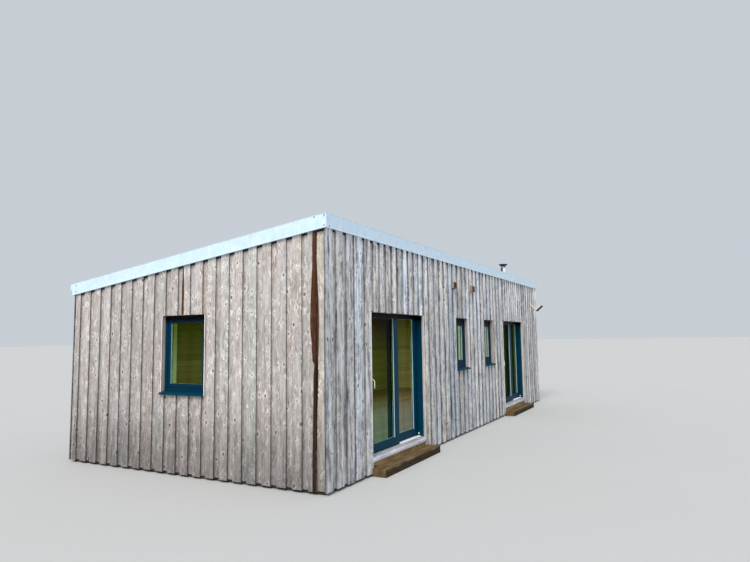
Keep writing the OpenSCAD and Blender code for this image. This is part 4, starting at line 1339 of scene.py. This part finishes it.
def lamp():
    """A wall plate, an arm that drops away, and a flat head with a lens under it."""
    x, z = LAMP_X, LAMP_Z
    plate, plate_t, arm_w = 0.045, 0.014, 0.014
    metal = Shape()
    metal.box(x - plate, x + plate, -plate_t, 0.0, z - plate, z + plate)
    arm = ((-0.006, z), (-0.006, z - 0.028), (-0.186, z - 0.194), (-0.186, z - 0.168))
    metal.prism([(a, d, h) for a in (x - arm_w, x + arm_w) for d, h in arm], 4)
    pivot = Vector((x, -0.162, z - 0.184))
    turn = Matrix.Rotation(math.radians(-42), 3, "X")

    def head(shape, x0, x1, y0, y1, z0, z1):
        part = Shape()
        part.box(x0, x1, y0, y1, z0, z1)
        shape.add([pivot + turn @ Vector(v) for v in part.verts], part.faces)

    head(metal, -0.089, 0.089, -0.219, -0.002, 0.001, 0.026)
    for rib in [-0.076 + 0.019 * k for k in range(9)]:
        head(metal, rib - 0.002, rib + 0.002, -0.190, -0.030, 0.025, 0.029)
    metal.piece("lamp_body", LAMP_METAL, "light_metal", ["outdoor_light"], bevel=0.003)
    rim, lens, bolts = Shape(), Shape(), Shape()
    head(rim, -0.088, 0.088, -0.218, -0.003, -0.029, 0.002)
    rim.piece("lamp_rim", RUBBER, "light_metal", bevel=0.002)
    head(lens, -0.074, 0.074, -0.204, -0.018, -0.0296, -0.024)
    lens.piece("lamp_lens", GLASS, "glass", bevel=0.001, segments=1)
    tube(bolts, [(a, -0.176, z - 0.178) for a in (x - 0.022, x + 0.022)], [0.009, 0.009], 10)
    for a in (x - 0.03, x + 0.03):
        screw_head(bolts, a, -plate_t + 0.0005, z + 0.03, 0.005, 0.003)
    bolts.piece("lamp_bolts", SCREW_STEEL, "light_metal", smooth=40)


sleepers()
vents()
flue()
lamp()

# Materials of the CAD nodes that stay in view
NODE_LOOKS = {
    "base_slab": SHADED_SLAB, "floor_frame": JOISTS, "floor_boards": PLANKS, "roof_deck": CEILING,
    "roof_sheet": ROOFING, "left_door_leaf_glass": GLASS, "right_door_leaf_glass": FAR_GLASS,
    "door_fixed_glass": FIXED_GLASS, "window_glass": PANE,
}
for node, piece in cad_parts.items():
    piece.data.materials.clear()
    piece.data.materials.append(NODE_LOOKS.get(node, LINING))


# Floor, light and camera


def studio_light(name, kind, **settings):
    """A lamp of the studio."""
    data = bpy.data.lights.new(name, kind)
    for key, value in settings.items():
        setattr(data, key, value)
    return linked(name, data)


def studio():
    """A pale floor, an even sky, a soft sun, and a lamp inside the room."""
    s = Shader("studio_floor", roughness=0.9)
    cloud = s.fog(s.here, (0.4, 0.4, 0.4))
    mesh = bpy.data.meshes.new("studio_floor")
    far = 300.0
    mesh.from_pydata([(-far, -far, 0), (far, -far, 0), (far, far, 0), (-far, far, 0)], [],
                     [(0, 1, 2, 3)])
    mesh.materials.append(s.done(s.mix(cloud, grey(0.50), grey(0.52))))
    linked("studio_floor", mesh)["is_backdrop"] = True
    world = bpy.data.worlds.new("studio")
    bpy.context.scene.world = world
    world.use_nodes = True
    sky = world.node_tree.nodes["Background"].inputs
    sky["Color"].default_value = (0.86, 0.93, 1.0, 1)
    sky["Strength"].default_value = 0.66
    way = Vector((0.66, 0.18, -0.73))
    key = studio_light("key", "SUN", energy=2.9, angle=math.radians(30), color=(1.0, 0.97, 0.93))
    key.rotation_euler = way.to_track_quat("-Z", "Y").to_euler()
    room = studio_light("room_fill", "AREA", shape="RECTANGLE", size=9.0, size_y=3.0, energy=180,
                        color=(1.0, 0.95, 0.80))
    room.location = (0, 0, 2.75)


def camera():
    """The photograph's camera: its place, its turn and its lens, for an image of 750 by 562."""
    yaw, pitch, roll = 1.0803, 0.0975, 0.0140
    focal_px, image_px = 580.25, 750
    right = Vector((math.cos(yaw), -math.sin(yaw), 0))
    ahead = Vector((math.sin(yaw) * math.cos(pitch), math.cos(yaw) * math.cos(pitch),
                    math.sin(pitch)))
    down = ahead.cross(right)
    turned = right * math.cos(roll) + down * math.sin(roll)
    dropped = down * math.cos(roll) - right * math.sin(roll)
    data = bpy.data.cameras.new("camera")
    data.sensor_width = 36.0
    data.lens = focal_px / image_px * data.sensor_width
    data.clip_end = 1000.0
    eye = linked("camera", data)
    turn = Matrix((turned, -dropped, -ahead)).transposed()
    eye.matrix_world = Matrix.Translation((-12.164, -6.5695, 1.957)) @ turn.to_4x4()
    bpy.context.scene.camera = eye
    bpy.context.scene.view_settings.view_transform = "Standard"


studio()
camera()


def corners(bounds):
    return [[float(v) for v in point] for point in bounds]


{"cad": corners(cad_box), "visual": corners(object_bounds())}
